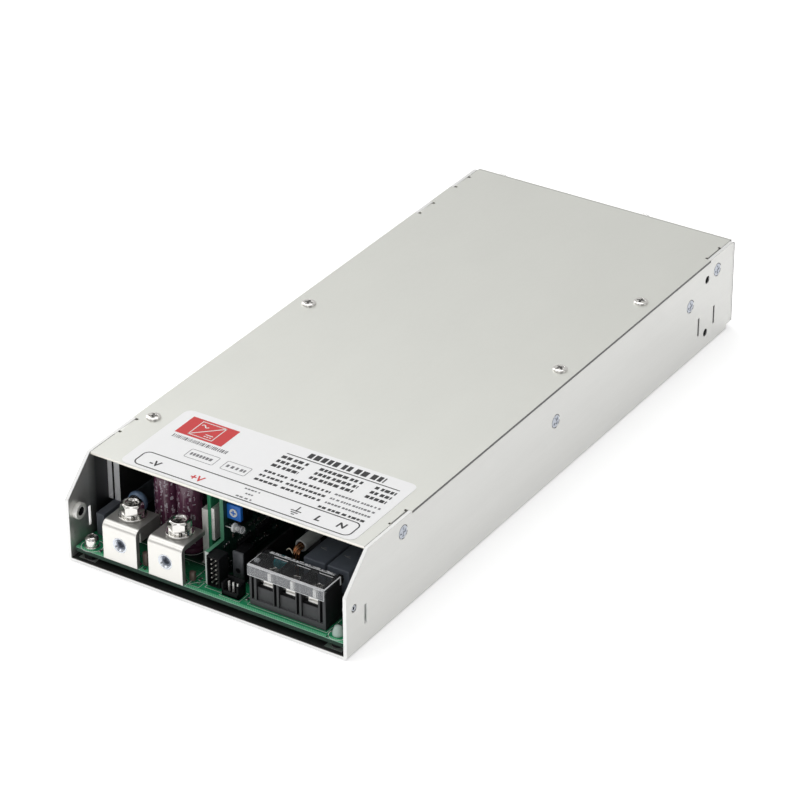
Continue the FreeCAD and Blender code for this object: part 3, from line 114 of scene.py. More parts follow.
# Each row: name, colour, roughness, metal, (scale, share) of the mottle, spread of the roughness,
# (scale, height in mm) of the relief
MAT = {
    "case": material("rolled_aluminium", (0.685, 0.685, 0.665), 0.40, 0.82, (35, 0.03), 0.09, (260, 0.0025),
                     (6, 0.35, 6), edge=0.35),
    "cover": material("zinc_coated_sheet", (0.77, 0.775, 0.735), 0.44, 1, (45, 0.025), 0.07, (700, 0.004),
                      (1, 0.5, 1), edge=0.3),
    "label": material("label_stock", (0.92, 0.92, 0.925), 0.35, 0, (300, 0.012), 0.05, (1500, 0.002),
                      coat=0.15),
    "film": material("black_film", (0.020, 0.019, 0.019), 0.42, 0, (80, 0.2), 0.1, (400, 0.02)),
    "zinc": material("blue_zinc_steel", (0.70, 0.73, 0.78), 0.24, 1, (300, 0.08), 0.06, (900, 0.006)),
    "nickel": material("bright_nickel", (0.80, 0.785, 0.755), 0.13, 1, (250, 0.05), 0.05, (700, 0.004)),
    "recess": material("recess_shadowed_steel", (0.16, 0.155, 0.15), 0.35, 0.9, (400, 0.2), 0.1, (900, 0.01)),
    "tin": material("tinned_plate", (0.78, 0.765, 0.72), 0.30, 0.66, (60, 0.02), 0.02, (400, 0.001),
                    edge=0.4),
    # Lighter copy of the tinned plate, as painted highlight
    "lit_tin": material("tinned_plate_painted_highlight", (0.92, 0.91, 0.87), 0.30, 0.45, (60, 0.02), 0.02,
                           (400, 0.001), edge=0.2),
    "pin": material("shaded_pin", (0.42, 0.41, 0.38), 0.35, 0.8, (120, 0.03), 0.04, (500, 0.002)),
    "side_zinc": material("shaded_zinc_steel", (0.47, 0.50, 0.56), 0.30, 0.9, (300, 0.08), 0.06,
                          (900, 0.006)),
    "nylon": material("white_nylon", (0.78, 0.79, 0.76), 0.42, 0, (200, 0.04), 0.06, (900, 0.01)),
    # Grey for the relay marks, and for the white nylon sleeve as painted shade
    "grey_print_and_shaded_sleeve": material("grey_print_and_sleeve_painted_shade", (0.29, 0.30, 0.295), 0.5, 0, (200, 0.06), 0.06, (900, 0.02)),
    "black": material("moulded_black", (0.013, 0.013, 0.014), 0.38, 0, (250, 0.2), 0.08, (1300, 0.012),
                      edge=0.15),
    "panel": material("moulded_dark_grey", (0.045, 0.046, 0.05), 0.46, 0, (250, 0.15), 0.08, (1300, 0.012),
                      edge=0.2),
    "block": material("moulded_block", (0.088, 0.089, 0.093), 0.5, 0, (250, 0.12), 0.08, (1300, 0.012),
                      specular=0.2),
    "relay": material("dark_slate_case", (0.10, 0.115, 0.14), 0.42, 0, (250, 0.1), 0.08, (1100, 0.01),
                      edge=0.3),
    "slate": material("slate_insulator", (0.12, 0.13, 0.155), 0.42, 0, (200, 0.15), 0.08, (900, 0.01),
                      edge=0.3),
    "grey": material("grey_connector", (0.10, 0.105, 0.115), 0.42, 0, (250, 0.12), 0.08, (1100, 0.01),
                     edge=0.2),
    "sink": material("mill_aluminium", (0.86, 0.87, 0.89), 0.36, 0.10, (50, 0.04), 0.08, (350, 0.004),
                     (8, 0.4, 8), edge=0.25),
    "sleeve": material("purple_sleeve", (0.12, 0.035, 0.075), 0.16, 0, (160, 0.25), 0.06, (260, 0.05),
                       coat=0.6),
    # Pale streaks for the sleeve print and for painted glints on the crinkled wrap
    "print": material("sleeve_print_and_painted_glints", (0.55, 0.47, 0.53), 0.35, 0, (300, 0.1), 0.05, (900, 0.004)),
    "can": material("black_sleeve", (0.015, 0.015, 0.018), 0.18, 0, (160, 0.2), 0.06, (260, 0.04), coat=0.5),
    "can_top": material("stamped_can", (0.72, 0.73, 0.74), 0.30, 1, (200, 0.05), 0.06, (500, 0.006)),
    "blue_disc": material("blue_dip_coating", (0.20, 0.30, 0.46), 0.2, 0, (200, 0.1), 0.06, (350, 0.03),
                          coat=0.3),
    "teal_disc": material("teal_dip_coating", (0.02, 0.22, 0.26), 0.26, 0, (200, 0.1), 0.06, (350, 0.03),
                          coat=0.3),
    "blue": material("blue_moulding", (0.02, 0.17, 0.62), 0.36, 0, (250, 0.06), 0.06, (1200, 0.008)),
    "copper": material("copper_strand", (0.66, 0.32, 0.16), 0.24, 1, (300, 0.12), 0.06, (700, 0.006)),
    "dark_copper": material("shadowed_copper", (0.30, 0.13, 0.06), 0.35, 1, (300, 0.2), 0.06, (700, 0.006)),
    "pale_wire": material("pale_lead", (0.78, 0.72, 0.58), 0.35, 0, (300, 0.08), 0.06, (700, 0.006)),
    "tan": material("tan_dip_coating", (0.105, 0.075, 0.06), 0.35, 0, (300, 0.15), 0.06, (700, 0.02)),
    "ferrite": material("ferrite_core", (0.035, 0.035, 0.038), 0.55, 0, (200, 0.2), 0.08, (600, 0.03)),
    "film_box": material("yellow_film_box", (0.62, 0.45, 0.08), 0.40, 0, (120, 0.06), 0.06, (900, 0.01)),
    "clear": material("clear_cover", (0.80, 0.82, 0.84), 0.06, 0, (120, 0.01), 0.03, (300, 0.003),
                      alpha=0.02),
    # Near white, as painted highlights on the clear cover
    "clear_highlight": material("clear_cover_painted_highlight", (0.95, 0.955, 0.97), 0.22, 0, (150, 0.03), 0.05, (500, 0.006),
                           alpha=0.9),
    "milky": material("clear_cover_lip", (0.62, 0.635, 0.66), 0.25, 0, (150, 0.05), 0.05, (500, 0.006),
                      alpha=0.32),
    "led": material("clear_lens", (0.86, 0.88, 0.91), 0.08, 0, (150, 0.02), 0.03, (300, 0.003), coat=0.6,
                    alpha=0.20),
    "edge_white": material("cut_board_edge", (0.74, 0.80, 0.76), 0.5, 0, (500, 0.1), 0.06, (900, 0.02)),
    "post": material("pale_green_nylon", (0.55, 0.68, 0.62), 0.42, 0, (200, 0.04), 0.06, (900, 0.01)),
    # Darker copy of the blue zinc, as painted shade inside the terminal bushes
    "bore": material("threaded_bore_painted_shade", (0.34, 0.37, 0.43), 0.4, 0.8, (400, 0.2), 0.1, (900, 0.01)),
    # Near black, as painted shade in the nut bores
    "deep": material("nut_bore_painted_shade", (0.015, 0.015, 0.017), 0.8, 0, (400, 0.2), 0.1, (900, 0.01), specular=0),
    "jet": material("jet_moulding", (0.007, 0.007, 0.008), 0.5, 0, (250, 0.2), 0.08, (1300, 0.012),
                    specular=0.12),
    "ink": material("black_ink", (0.015, 0.015, 0.017), 0.45, 0, (400, 0.15), 0.05, (1500, 0.001)),
    "grey_ink": material("grey_ink", (0.16, 0.16, 0.17), 0.45, 0, (400, 0.1), 0.05, (1500, 0.001)),
    "red_ink": material("red_ink", (0.62, 0.030, 0.032), 0.40, 0, (400, 0.05), 0.05, (1500, 0.001)),
    "white_ink": material("white_ink", (0.82, 0.83, 0.80), 0.45, 0, (400, 0.05), 0.05, (1500, 0.002)),
    "mask_line": material("light_green_track", (0.06, 0.33, 0.16), 0.35, 0, (300, 0.08), 0.06, (900, 0.004)),
    "solder": material("solder", (0.72, 0.72, 0.70), 0.26, 1, (300, 0.06), 0.08, (500, 0.02)),
    "edge_green": material("board_edge", (0.07, 0.25, 0.145), 0.5, 0, (500, 0.15), 0.06, (900, 0.02)),
    "wire": material("bright_guard_wire", (0.78, 0.78, 0.77), 0.20, 1, (300, 0.05), 0.06, (600, 0.006)),
    "fan": material("fan_plastic", (0.020, 0.020, 0.022), 0.44, 0, (200, 0.15), 0.08, (900, 0.012)),
    "impeller": material("impeller_plastic", (0.30, 0.30, 0.305), 0.40, 0, (200, 0.10), 0.08, (900, 0.012)),
}


def blend(made, share, colour):
    """Lays a colour over a material's own one, by a share between 0 and 1."""
    tree = made.node_tree
    shader = tree.nodes["Principled BSDF"]
    under = shader.inputs["Base Color"].links[0].from_socket
    mix = node(tree, "Mix", {"Factor": share, "A": under, "B": colour + (1.0,)}, data_type="RGBA")
    fill(tree, shader, {"Base Color": mix.outputs["Result"]})


def board_material(name, mask, line):
    """Solder mask with faint copper tracks under it."""
    made = material(name, mask, 0.40, 0, (90, 0.12), 0.08, (600, 0.008), specular=0.25)
    tree = made.node_tree
    cells = node(tree, "TexBrick", {
        "Vector": node(tree, "TexCoord").outputs["Object"], "Scale": 210, "Mortar Size": 0.03,
        "Color1": (0, 0, 0, 1), "Color2": (0, 0, 0, 1), "Mortar": (1, 1, 1, 1)}, offset=0.5)
    blend(made, cells.outputs["Color"], line)
    return made


MAT["board"] = board_material("green_solder_mask", (0.015, 0.26, 0.11), (0.025, 0.34, 0.15))
MAT["upright_board"] = board_material("green_upright_mask", (0.02, 0.19, 0.09), (0.03, 0.25, 0.12))
MAT["dark_board"] = board_material("dark_solder_mask", (0.012, 0.045, 0.032), (0.02, 0.075, 0.05))


# Layers of colour on a material, by place or by the way a face looks

def place_of(tree, axis):
    """Place along one axis of the part's own space."""
    return node(tree, "SeparateXYZ", {"Vector": node(tree, "TexCoord").outputs["Object"]}).outputs[axis]


def fade(key, axis, low, high, colour):
    """Another colour from one place on along an axis, used here for painted shade."""
    tree = MAT[key].node_tree
    blend(MAT[key], portion(tree, place_of(tree, axis), low * MM, high * MM), colour)


def shadow(key, wall, low, high, end, colour):
    """Another colour on the face at one X, between two places along Y, coming on gently."""
    tree = MAT[key].node_tree
    face = calc(tree, "COMPARE", place_of(tree, "X"), wall * MM, 0.1 * MM)
    depth = portion(tree, place_of(tree, "Y"), low * MM, high * MM)
    before = calc(tree, "LESS_THAN", place_of(tree, "Y"), end * MM)
    blend(MAT[key], calc(tree, "MULTIPLY", calc(tree, "MULTIPLY", face, depth), before), colour)


def stripe(key, axis, low, high, colour):
    """Another colour between two places along an axis."""
    tree = MAT[key].node_tree
    share = calc(tree, "COMPARE", place_of(tree, axis), (low + high) / 2 * MM, (high - low) / 2 * MM)
    blend(MAT[key], share, colour)


def hatch(key, until, step, colour):
    """Slanting thin lines in front of a place on Y."""
    tree = MAT[key].node_tree
    slant = calc(tree, "ADD", place_of(tree, "X"), place_of(tree, "Y"))
    wave = calc(tree, "PINGPONG", slant, step * MM)
    line = portion(tree, wave, step * 0.55 * MM, step * 0.75 * MM)
    near = calc(tree, "LESS_THAN", place_of(tree, "Y"), until * MM)
    blend(MAT[key], calc(tree, "MULTIPLY", line, near), colour)


def facing(key, direction, colour, low=0.5, high=0.8):
    """Another colour on the faces that look along a direction, used here for painted light and shade."""
    tree = MAT[key].node_tree
    normal = node(tree, "NewGeometry").outputs["True Normal"]
    lean = node(tree, "VectorMath", {0: normal, 1: direction}, operation="DOT_PRODUCT").outputs["Value"]
    blend(MAT[key], portion(tree, lean, low, high), colour)


# Mesh helpers: each shape is (points, faces) or (points, faces, material number of each face)

def at(x=0.0, y=0.0, z=0.0):
    return Matrix.Translation((x, y, z))


def stand(place, along):
    """Moves a shape that stands on Z so that it stands at a place, along a direction."""
    return Matrix.Translation(place) @ Vector(UP).rotation_difference(Vector(along)).to_matrix().to_4x4()


def polar(radius, angle, z=0.0):
    return radius * math.cos(angle), radius * math.sin(angle), z


def neighbours(count):
    """Pairs of numbers that follow each other round a ring."""
    return [(i, (i + 1) % count) for i in range(count)]


class Solid:
    """Collects shapes and turns them into one piece of the scene."""

    def __init__(self):
        self.points = []
        self.faces = []
        self.numbers = []

    def add(self, shape, number=0, move=None):
        base = len(self.points)
        points = [Vector(p) for p in shape[0]]
        self.points += [move @ p for p in points] if move else points
        self.faces += [[base + i for i in face] for face in shape[1]]
        self.numbers += list(shape[2]) if len(shape) > 2 else [number] * len(shape[1])

    def make(self, name, slot, mats, body="supply", replaces=(), angle=38.0, outward=True):
        mesh = bpy.data.meshes.new(name)
        mesh.from_pydata([p * MM for p in self.points], [], self.faces)
        for key in mats:
            mesh.materials.append(MAT[key])
        mesh.polygons.foreach_set("material_index", self.numbers)
        if outward:
            work = bmesh.new()
            work.from_mesh(mesh)
            bmesh.ops.recalc_face_normals(work, faces=work.faces)
            work.to_mesh(mesh)
            work.free()
        mesh.shade_smooth()
        mesh.set_sharp_from_angle(angle=math.radians(angle))
        mesh.update()
        piece = bpy.data.objects.new(name, mesh)
        scene.collection.objects.link(piece)
        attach(piece, body)
        if replaces:
            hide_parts(*replaces)


def revolve(profile, sides, start=0.0, sweep=TAU):
    """Surface turned about Z from (height, radius) points; a radius of 0 closes it."""
    points, faces, rows = [], [], []
    whole = sweep > TAU - 1e-6
    count = sides if whole else sides + 1
    for z, r in profile:
        if r < 1e-6:
            rows.append([len(points)])
            points.append((0, 0, z))
            continue
        rows.append(list(range(len(points), len(points) + count)))
        points += [polar(r, start + sweep * i / sides, z) for i in range(count)]
    for low, high in zip(rows, rows[1:]):
        for i in range(sides):
            j = (i + 1) % count
            a = low if len(low) == 1 else [low[i], low[j]]
            b = high if len(high) == 1 else [high[j], high[i]]
            if len(a) + len(b) > 2:
                faces.append(a + b)
    return points, faces


def rounded(profile, radius):
    """Profile with its inner corners rounded."""
    steps = 3
    out = [profile[0]]
    for corner in zip(profile, profile[1:], profile[2:]):
        a, p, b = (Vector(c) for c in corner)
        reach = min(radius, (a - p).length / 2, (b - p).length / 2)
        first = p + (a - p).normalized() * reach
        last = p + (b - p).normalized() * reach
        for i in range(steps + 1):
            t = i / steps
            out.append(tuple(first * (1 - t) ** 2 + p * 2 * t * (1 - t) + last * t * t))
    return out + [profile[-1]]


def ring_profile(outer, bore, low, high, round_off):
    """Closed profile of a washer with rounded edges."""
    start = (low, (outer + bore) / 2)
    return rounded([start, (low, outer), (high, outer), (high, bore), (low, bore), start], round_off)


def brick(x, y, z, radius, steps=2):
    """Box with rounded edges from three (low, high) spans."""
    work = bmesh.new()
    bmesh.ops.create_cube(work, size=1.0)
    for v in work.verts:
        v.co = Vector([(s[0] + s[1]) / 2 + c * (s[1] - s[0]) for s, c in zip((x, y, z), v.co)])
    if radius:
        bmesh.ops.bevel(work, geom=work.edges[:], offset=radius, segments=steps, profile=0.5, affect="EDGES",
                        clamp_overlap=True)
    work.verts.index_update()
    shape = [tuple(v.co) for v in work.verts], [[v.index for v in f.verts] for f in work.faces]
    work.free()
    return shape


def tube(path, radius, sides, taper=None):
    """Round bar along a path of points."""
    path = [Vector(p) for p in path]
    points, faces = [], []
    side = None
    for k, p in enumerate(path):
        ahead = (path[min(k + 1, len(path) - 1)] - path[max(k - 1, 0)]).normalized()
        if side is None:
            side = ahead.orthogonal().normalized()
        side = (side - ahead * side.dot(ahead)).normalized()
        up = ahead.cross(side)
        r = radius * (taper[k] if taper else 1.0)
        for i in range(sides):
            across, over, _ = polar(r, TAU * i / sides)
            points.append(p + side * across + up * over)
    for k in range(len(path) - 1):
        a, b = k * sides, (k + 1) * sides
        faces += [[a + i, a + j, b + j, b + i] for i, j in neighbours(sides)]
    faces.append(list(range(sides)))
    faces.append([(len(path) - 1) * sides + i for i in range(sides)])
    return points, faces


def hoop(radius, wire, sides, around):
    """Wire ring that lies square to Z."""
    points, faces = [], []
    for i in range(sides):
        for j in range(around):
            out, over, _ = polar(wire, TAU * j / around)
            points.append(polar(radius + out, TAU * i / sides, over))
    for i, k in neighbours(sides):
        for j, n in neighbours(around):
            faces.append([i * around + j, k * around + j, k * around + n, i * around + n])
    return points, faces


def clamp(value):
    return max(0.0, min(1.0, value))


def cross_depth(x, y, width, reach, depth):
    """Depth of a cross recess at a place on a screw's head."""
    soft = 0.14
    best = 0.0
    for u, v in ((x, y), (y, x)):
        taper = 1.0 - 0.45 * clamp(abs(u) / reach)
        best = max(best, clamp((reach - abs(u)) / soft) * clamp((width / 2 - abs(v)) / soft + 0.5) * taper)
    return depth * best


def head(rim, top, recess, rings=22, sides=64, foot=0.0, turn=0.0):
    """Screw head on Z.

    rim(angle) is its outline, top(radius) its height, recess the cross's width, reach and depth.
    """
    deep = recess[2]
    points = [(0, 0, top(0.0) - deep)]
    depths = [deep]
    angles = [TAU * i / sides for i in range(sides)]
    c, s = math.cos(turn), math.sin(turn)
    for k in range(1, rings + 1):
        for a in angles:
            r = rim(a) * k / rings
            x, y, _ = polar(r, a)
            depths.append(cross_depth(x * c + y * s, y * c - x * s, *recess))
            points.append((x, y, top(r) - depths[-1]))
    faces = [[0, 1 + i, 1 + j] for i, j in neighbours(sides)]
    for k in range(rings - 1):
        a, b = 1 + k * sides, 1 + (k + 1) * sides
        faces += [[a + i, b + i, b + j, a + j] for i, j in neighbours(sides)]
    numbers = [1 if sum(depths[i] for i in f) / len(f) > 0.3 * deep else 0 for f in faces]
    base = len(points)
    last = base - sides
    points += [polar(rim(a), a, foot) for a in angles]
    faces += [[last + i, base + i, base + j, last + j] for i, j in neighbours(sides)]
    faces.append([base + i for i in range(sides)][::-1])
    return points, faces, numbers + [0] * (sides + 1)


def pan(radius, height, turn):
    """Low domed head with a cross recess."""
    def top(r):
        share = clamp(r / radius)
        return height * (0.42 + 0.58 * math.sqrt(max(0.0, 1 - share ** 3)))
    recess = (radius * 0.30, radius * 0.60, height * 0.62)
    return head(lambda a: radius, top, recess, turn=turn)


# Flat print: quads and ribbons at one height

class Print:
    """Collects flat ink shapes, placed from a corner of the face they lie on, and makes them one piece."""

    def __init__(self, z, corner=(0.0, 0.0)):
        self.x, self.y = corner
        self.z = z
        self.solid = Solid()

    def bar(self, x0, x1, y0, y1, number=0):
        corners = ((x0, y0), (x1, y0), (x1, y1), (x0, y1))
        self.solid.add(([(self.x + x, self.y + y, self.z) for x, y in corners], QUAD), number)

    def ribbon(self, path, width, number=0, closed=False):
        points = [Vector((self.x + x, self.y + y)) for x, y in path]
        count = len(points)
        corners, faces = [], []
        for i, p in enumerate(points):
            back = points[i - 1] if closed or i else p
            on = points[(i + 1) % count] if closed or i < count - 1 else p
            ahead = ((on - p).normalized() + (p - back).normalized()).normalized()
            normal = Vector((-ahead.y, ahead.x)) * (width / 2)
            corners += [(*(p - normal), self.z), (*(p + normal), self.z)]
        for i, j in neighbours(count)[:count if closed else -1]:
            faces.append([2 * i, 2 * j, 2 * j + 1, 2 * i + 1])
        self.solid.add((corners, faces), number)

    def ring(self, x, y, radius, width, number=0, sides=40):
        circle = [polar(radius, TAU * i / sides) for i in range(sides)]
        self.ribbon([(x + across, y + over) for across, over, _ in circle], width, number, True)

    def row(self, x0, x1, y, height, number, gap, low, high, seed):
        """Row of short bars that stands for a line of small print."""
        dice = random.Random(seed)
        x = x0
        while x < x1 - 0.3:
            width = min(dice.uniform(low, high), x1 - x)
            self.bar(x, x + width, y, y + height, number)
            x += width + (gap if dice.random() < 0.75 else gap * 2.4)

    def word(self, text, tall, x, y, number, slant, weight):
        """A terminal's own short function mark."""
        curve = bpy.data.curves.new("mark", "FONT")
        curve.body = text
        curve.size = tall
        curve.shear = slant
        curve.offset = weight * tall
        curve.resolution_u = 5
        curve.align_x = "CENTER"
        curve.align_y = "CENTER"
        holder = bpy.data.objects.new("mark", curve)
        scene.collection.objects.link(holder)
        seen = holder.evaluated_get(bpy.context.evaluated_depsgraph_get())
        flat = bpy.data.meshes.new_from_object(seen)
        x, y = self.x + x, self.y + y
        points = [(v.co.x + x, v.co.y + y, self.z) for v in flat.vertices]
        self.solid.add((points, [list(f.vertices) for f in flat.polygons]), number)
        bpy.data.objects.remove(holder)
        bpy.data.curves.remove(curve)
        bpy.data.meshes.remove(flat)

    def make(self, name, slot, mats):
        self.solid.make(name, slot, mats, outward=False)


def round_rect(x0, x1, y0, y1, radius, steps=6):
    """Path round a rectangle with round corners."""
    path = []
    left, right, low, high = x0 + radius, x1 - radius, y0 + radius, y1 - radius
    for quarter, (cx, cy) in enumerate(((right, high), (left, high), (left, low), (right, low))):
        for i in range(steps + 1):
            x, y, _ = polar(radius, TAU / 4 * (quarter + i / steps))
            path.append((cx + x, cy + y))
    return path


# Places read from the frame, in millimetres

def box_of(name):
    """Spans of a node in x, y and z."""
    low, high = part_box(name)
    return [(a / MM, b / MM) for a, b in zip(low, high)]


def solids_of(name):
    """Spans of each loose solid of a node, sorted by place."""
    work = bmesh.new()
    work.from_mesh(nodes[name].data)
    bmesh.ops.remove_doubles(work, verts=work.verts, dist=1e-6)
    left = set(work.verts)
    found = []
    while left:
        group = [left.pop()]
        for v in group:
            for e in v.link_edges:
                other = e.other_vert(v)
                if other in left:
                    left.remove(other)
                    group.append(other)
        places = [[v.co[i] for v in group] for i in range(3)]
        found.append([(min(p) / MM, max(p) / MM) for p in places])
    work.free()
    return sorted(found)


def mid(spread):
    return (spread[0] + spread[1]) / 2


def size(spread):
    return spread[1] - spread[0]


def span(middle, wide):
    return (middle - wide / 2, middle + wide / 2)


def radius_of(a, b):
    """Radius of a round solid from its spans across the axis."""
    return max(size(a), size(b)) / 2


def outer_face(x):
    """Side of the case, -1 or 1, and the X of a fastener's outer end there."""
    return (1, x[1]) if mid(x) > 0 else (-1, x[0])


def chip_spans(u, v, along_u, body, cap, reach):
    """Spans in u and v of a small chip's body and of the caps on its two ends."""
    spans = []
    for step, (long, wide) in ((0.0, body), (-reach, cap), (reach, cap)):
        if along_u:
            spans.append((span(u + step, long), span(v, wide)))
        else:
            spans.append((span(u, wide), span(v + step, long)))
    return spans


# Finishes of the nodes that keep their own shape

FINISH = {
    "case": ["chassis"],
    "cover": ["top_cover"],
    "label": ["rating_label"],
    "film": ["insulating_sheet", "barrier"],
    "board": ["main_board"],
    "upright_board": ["rectifier_board"],
    "dark_board": ["control_board"],
    "tin": ["negative_terminal", "positive_terminal"],
    # Rectifier bars and aux pins in the lighter tin, as painted highlight
    "lit_tin": ["rectifier_bars", "aux_pins"],
    "pin": ["signal_pins"],
    "nickel": ["input_clamps"],
    "zinc": ["output_nuts"],
    "sink": ["heatsink_left", "heatsink_right"],
    "slate": ["heatsink_rails"],
    "black": ["power_transistors", "bridge_rectifier"],
    "jet": ["signal_header", "board_standoffs"],
    "ferrite": ["output_inductor", "main_transformer", "line_filter", "boost_choke"],
    "film_box": ["filter_capacitor"],
}
for key, names in FINISH.items():
    for name in names:
        mesh = nodes[name].data
        mesh.materials.clear()
        mesh.materials.append(MAT[key])

BOARD_LOW, BOARD_TOP = box_of("main_board")[2]
BOARD_FRONT = box_of("main_board")[1][0]
COVER_TOP = box_of("top_cover")[2][1]
REAR = box_of("top_cover")[1][1]
INNER_LEFT = box_of("mounting_nuts")[0][0]
BLOCK_X, BLOCK_Y, BLOCK_Z = box_of("input_block")
chance = random.Random(7)

# Painted highlights on the cut edges of the sheets, painted shade in seams and depths
# Chassis: painted highlights on faces turned front and up, painted shade on faces turned down
facing("case", TO_FRONT, (0.88, 0.88, 0.87))
facing("case", UP, (0.92, 0.92, 0.91))
facing("case", DOWN, (0.42, 0.42, 0.42), 0.15, 0.5)
# Painted shade line at the rear seam, and painted shade deeper in along the inner left wall
stripe("case", "Y", REAR - 0.55, REAR - 0.02, (0.16, 0.16, 0.16))
shadow("case", INNER_LEFT, BOARD_FRONT + 11.0, BOARD_FRONT + 16.0, BOARD_FRONT + 29.0, (0.07, 0.07, 0.075))
# Cover: painted highlight on front faces, painted shade on the right edge, a grey line by the rear edge
facing("cover", TO_FRONT, (0.93, 0.91, 0.84))
facing("cover", TO_RIGHT, (0.12, 0.12, 0.12))
stripe("cover", "Y", REAR - 0.95, REAR - 0.65, (0.42, 0.42, 0.41))
# Input block: painted shade behind its front 1.3 mm and on its faces turned right
fade("block", "Y", BLOCK_Y[0] + 1.0, BLOCK_Y[0] + 1.3, (0.006, 0.006, 0.007))
facing("block", TO_RIGHT, (0.012, 0.012, 0.013))
stripe("board", "Y", BOARD_FRONT - 0.1, BOARD_FRONT + 1.7, (0.10, 0.46, 0.23))
hatch("board", BOARD_FRONT + 1.7, 0.5, (0.22, 0.57, 0.36))
# Main board: painted highlight line on the front edge, painted shade further back and on the front face
stripe("board", "Y", BOARD_FRONT - 0.1, BOARD_FRONT + 0.35, (0.36, 0.70, 0.52))
fade("board", "Y", BOARD_FRONT + 9.0, BOARD_FRONT + 18.0, (0.003, 0.014, 0.009))
facing("board", TO_FRONT, (0.008, 0.04, 0.024))
# Heatsinks: painted highlight on fin ends turned to the front, painted shade on faces turned right
facing("sink", TO_FRONT, (0.96, 0.965, 0.98))
facing("sink", TO_RIGHT, (0.03, 0.03, 0.03))
# Output terminals: painted highlight on front faces, painted dark reflection on tops, painted shade on right
# faces
facing("tin", TO_FRONT, (0.95, 0.935, 0.89), 0.1, 0.3)
facing("tin", UP, (0.34, 0.335, 0.32), 0.9, 0.98)
facing("tin", TO_RIGHT, (0.28, 0.28, 0.27))
# Painted highlight on the lighter tin's faces turned to the front
facing("lit_tin", TO_FRONT, (0.98, 0.97, 0.94))
# Blue disc: painted shade on faces turned to the front
facing("blue_disc", TO_FRONT, (0.012, 0.015, 0.022), 0.8, 0.97)


# Fasteners of the case

def any_turn():
    """Turn of a screw's cross recess."""
    return chance.uniform(0, 1.5)


screws = Solid()
for x, y, z in solids_of("cover_screws"):
    low_head = 0.7 * (z[1] - COVER_TOP)
    screws.add(pan(radius_of(x, y), low_head, any_turn()), move=at(mid(x), mid(y), COVER_TOP))
screws.make("cover_screw_heads", "zinc_steel", ["nickel", "recess"], replaces=["cover_screws"])

screws = Solid()
for x, y, z in solids_of("side_screws"):
    side, face = outer_face(x)
    radius = radius_of(y, z)
    sunk = stand((face, mid(y), mid(z)), (side, 0, 0))
    flat = head(lambda a: radius - 0.75, lambda r: -0.04, (1.0, 1.9, 1.1), foot=-0.3, turn=any_turn())
    screws.add(flat, move=sunk)
    screws.add(revolve([(-0.30, radius - 0.76), (-0.30, radius - 0.5), (-0.03, radius - 0.4)], 56), 1, sunk)
    screws.add(revolve([(-0.03, radius - 0.4), (-0.02, radius + 0.02)], 56), 2, sunk)
screws.make("side_screw_heads", "zinc_steel", ["side_zinc", "recess", "case"], replaces=["side_screws"])

# The bent edges of the left flanges close the gap to the wall
bends = Solid()
for x, y, z in solids_of("side_screws"):
    if mid(x) < 0 and mid(z) > COVER_TOP - 11.0:
        gap, upper = (INNER_LEFT + 0.01, INNER_LEFT + 0.75), (COVER_TOP - 0.6, COVER_TOP - 0.03)
        bends.add(brick(gap, span(mid(y), 9.4), upper, 0.08))
bends.make("flange_bends", "cover_steel", ["cover"])

# Press nuts: bores and threads painted near black as painted shade, a bright ring in the front right hole
NUT_BORE, NUT_LINING, NUT_THREAD = 1.72, 1.70, 1.68
nuts = Solid()
for x, y, z in solids_of("mounting_nuts"):
    side, wall = outer_face(x)
    tall = size(x) if side > 0 else size(x) + 0.4
    outer = radius_of(y, z) - 0.05
    inward = stand((wall, mid(y), mid(z)), (-side, 0, 0))
    # The nuts of the left wall and the outer rings are in the lighter tin, as painted highlight
    nuts.add(revolve(ring_profile(outer, NUT_BORE, 0.0, tall, 0.3), 48), 0 if side > 0 else 2, inward)
    nuts.add(revolve([(0.05, NUT_LINING), (tall - 0.05, NUT_LINING)], 40), 1, inward)
    for step in (0.3, 0.6, 0.85):
        nuts.add(hoop(NUT_THREAD, 0.13, 40, 8), 1, inward @ at(z=step * tall))
    nuts.add(revolve([(-1.0, NUT_THREAD), (-1.05, 0.0)], 40), 1, inward)
    if side > 0 and mid(y) < 0:
        nuts.add(hoop(0.95, 0.22, 40, 8), 0, inward @ at(z=-1.2))
    nuts.add(revolve([(0.1, outer + 0.02), (0.85 * tall, outer + 0.02)], 48), 2, inward)
nuts.make("press_nuts", "zinc_steel", ["zinc", "deep", "lit_tin"], replaces=["mounting_nuts"])

screws = Solid()
for x, y, z in solids_of("board_screws"):
    radius = radius_of(x, y)
    seat = at(mid(x), mid(y), BOARD_TOP)
    screws.add(revolve(ring_profile(radius + 0.4, 1.6, 0.0, 0.7, 0.15), 48), move=seat)
    screws.add(revolve(ring_profile(radius - 0.1, 1.6, 0.75, 1.75, 0.15), 48, 0.2, TAU - 0.3), move=seat)
    screws.add(pan(radius + 0.05, z[1] - BOARD_TOP - 0.6, 0.5), move=seat @ at(z=1.8))
screws.make("board_screw_heads", "zinc_steel", ["nickel", "recess"], replaces=["board_screws"])

support = Solid()
x, y, z = box_of("board_support")
SUPPORT = (mid(x), mid(y))
broad = radius_of(x, y)
foot = rounded([(z[0], 0.0), (z[0], broad), (BOARD_LOW, broad), (BOARD_LOW, 1.5), (BOARD_TOP, 1.5),
                (BOARD_TOP, 0.0)], 0.5)
knob = rounded([(BOARD_TOP - 0.1, 0.0), (BOARD_TOP - 0.1, broad * 0.92), (BOARD_TOP + 1.5, broad * 0.86),
                (z[1] - 1.0, 1.3), (z[1] - 0.8, 0.0)], 0.6)
# The foot under the board is jet black, as painted shade
support.add(revolve(foot, 32), 1, at(*SUPPORT))
support.add(revolve(knob, 32), 0, at(*SUPPORT))
support.make("nylon_post", "white_nylon", ["post", "jet"], replaces=["board_support"])


# Output terminals

BOLT_FLATS, WASHER_BORE, SPLIT = 8.0, 2.7, 0.14


def hexagon(a):
    """Radius of the bolt's head at an angle."""
    return BOLT_FLATS / 2 / math.cos((a + math.pi / 6) % (math.pi / 3) - math.pi / 6)


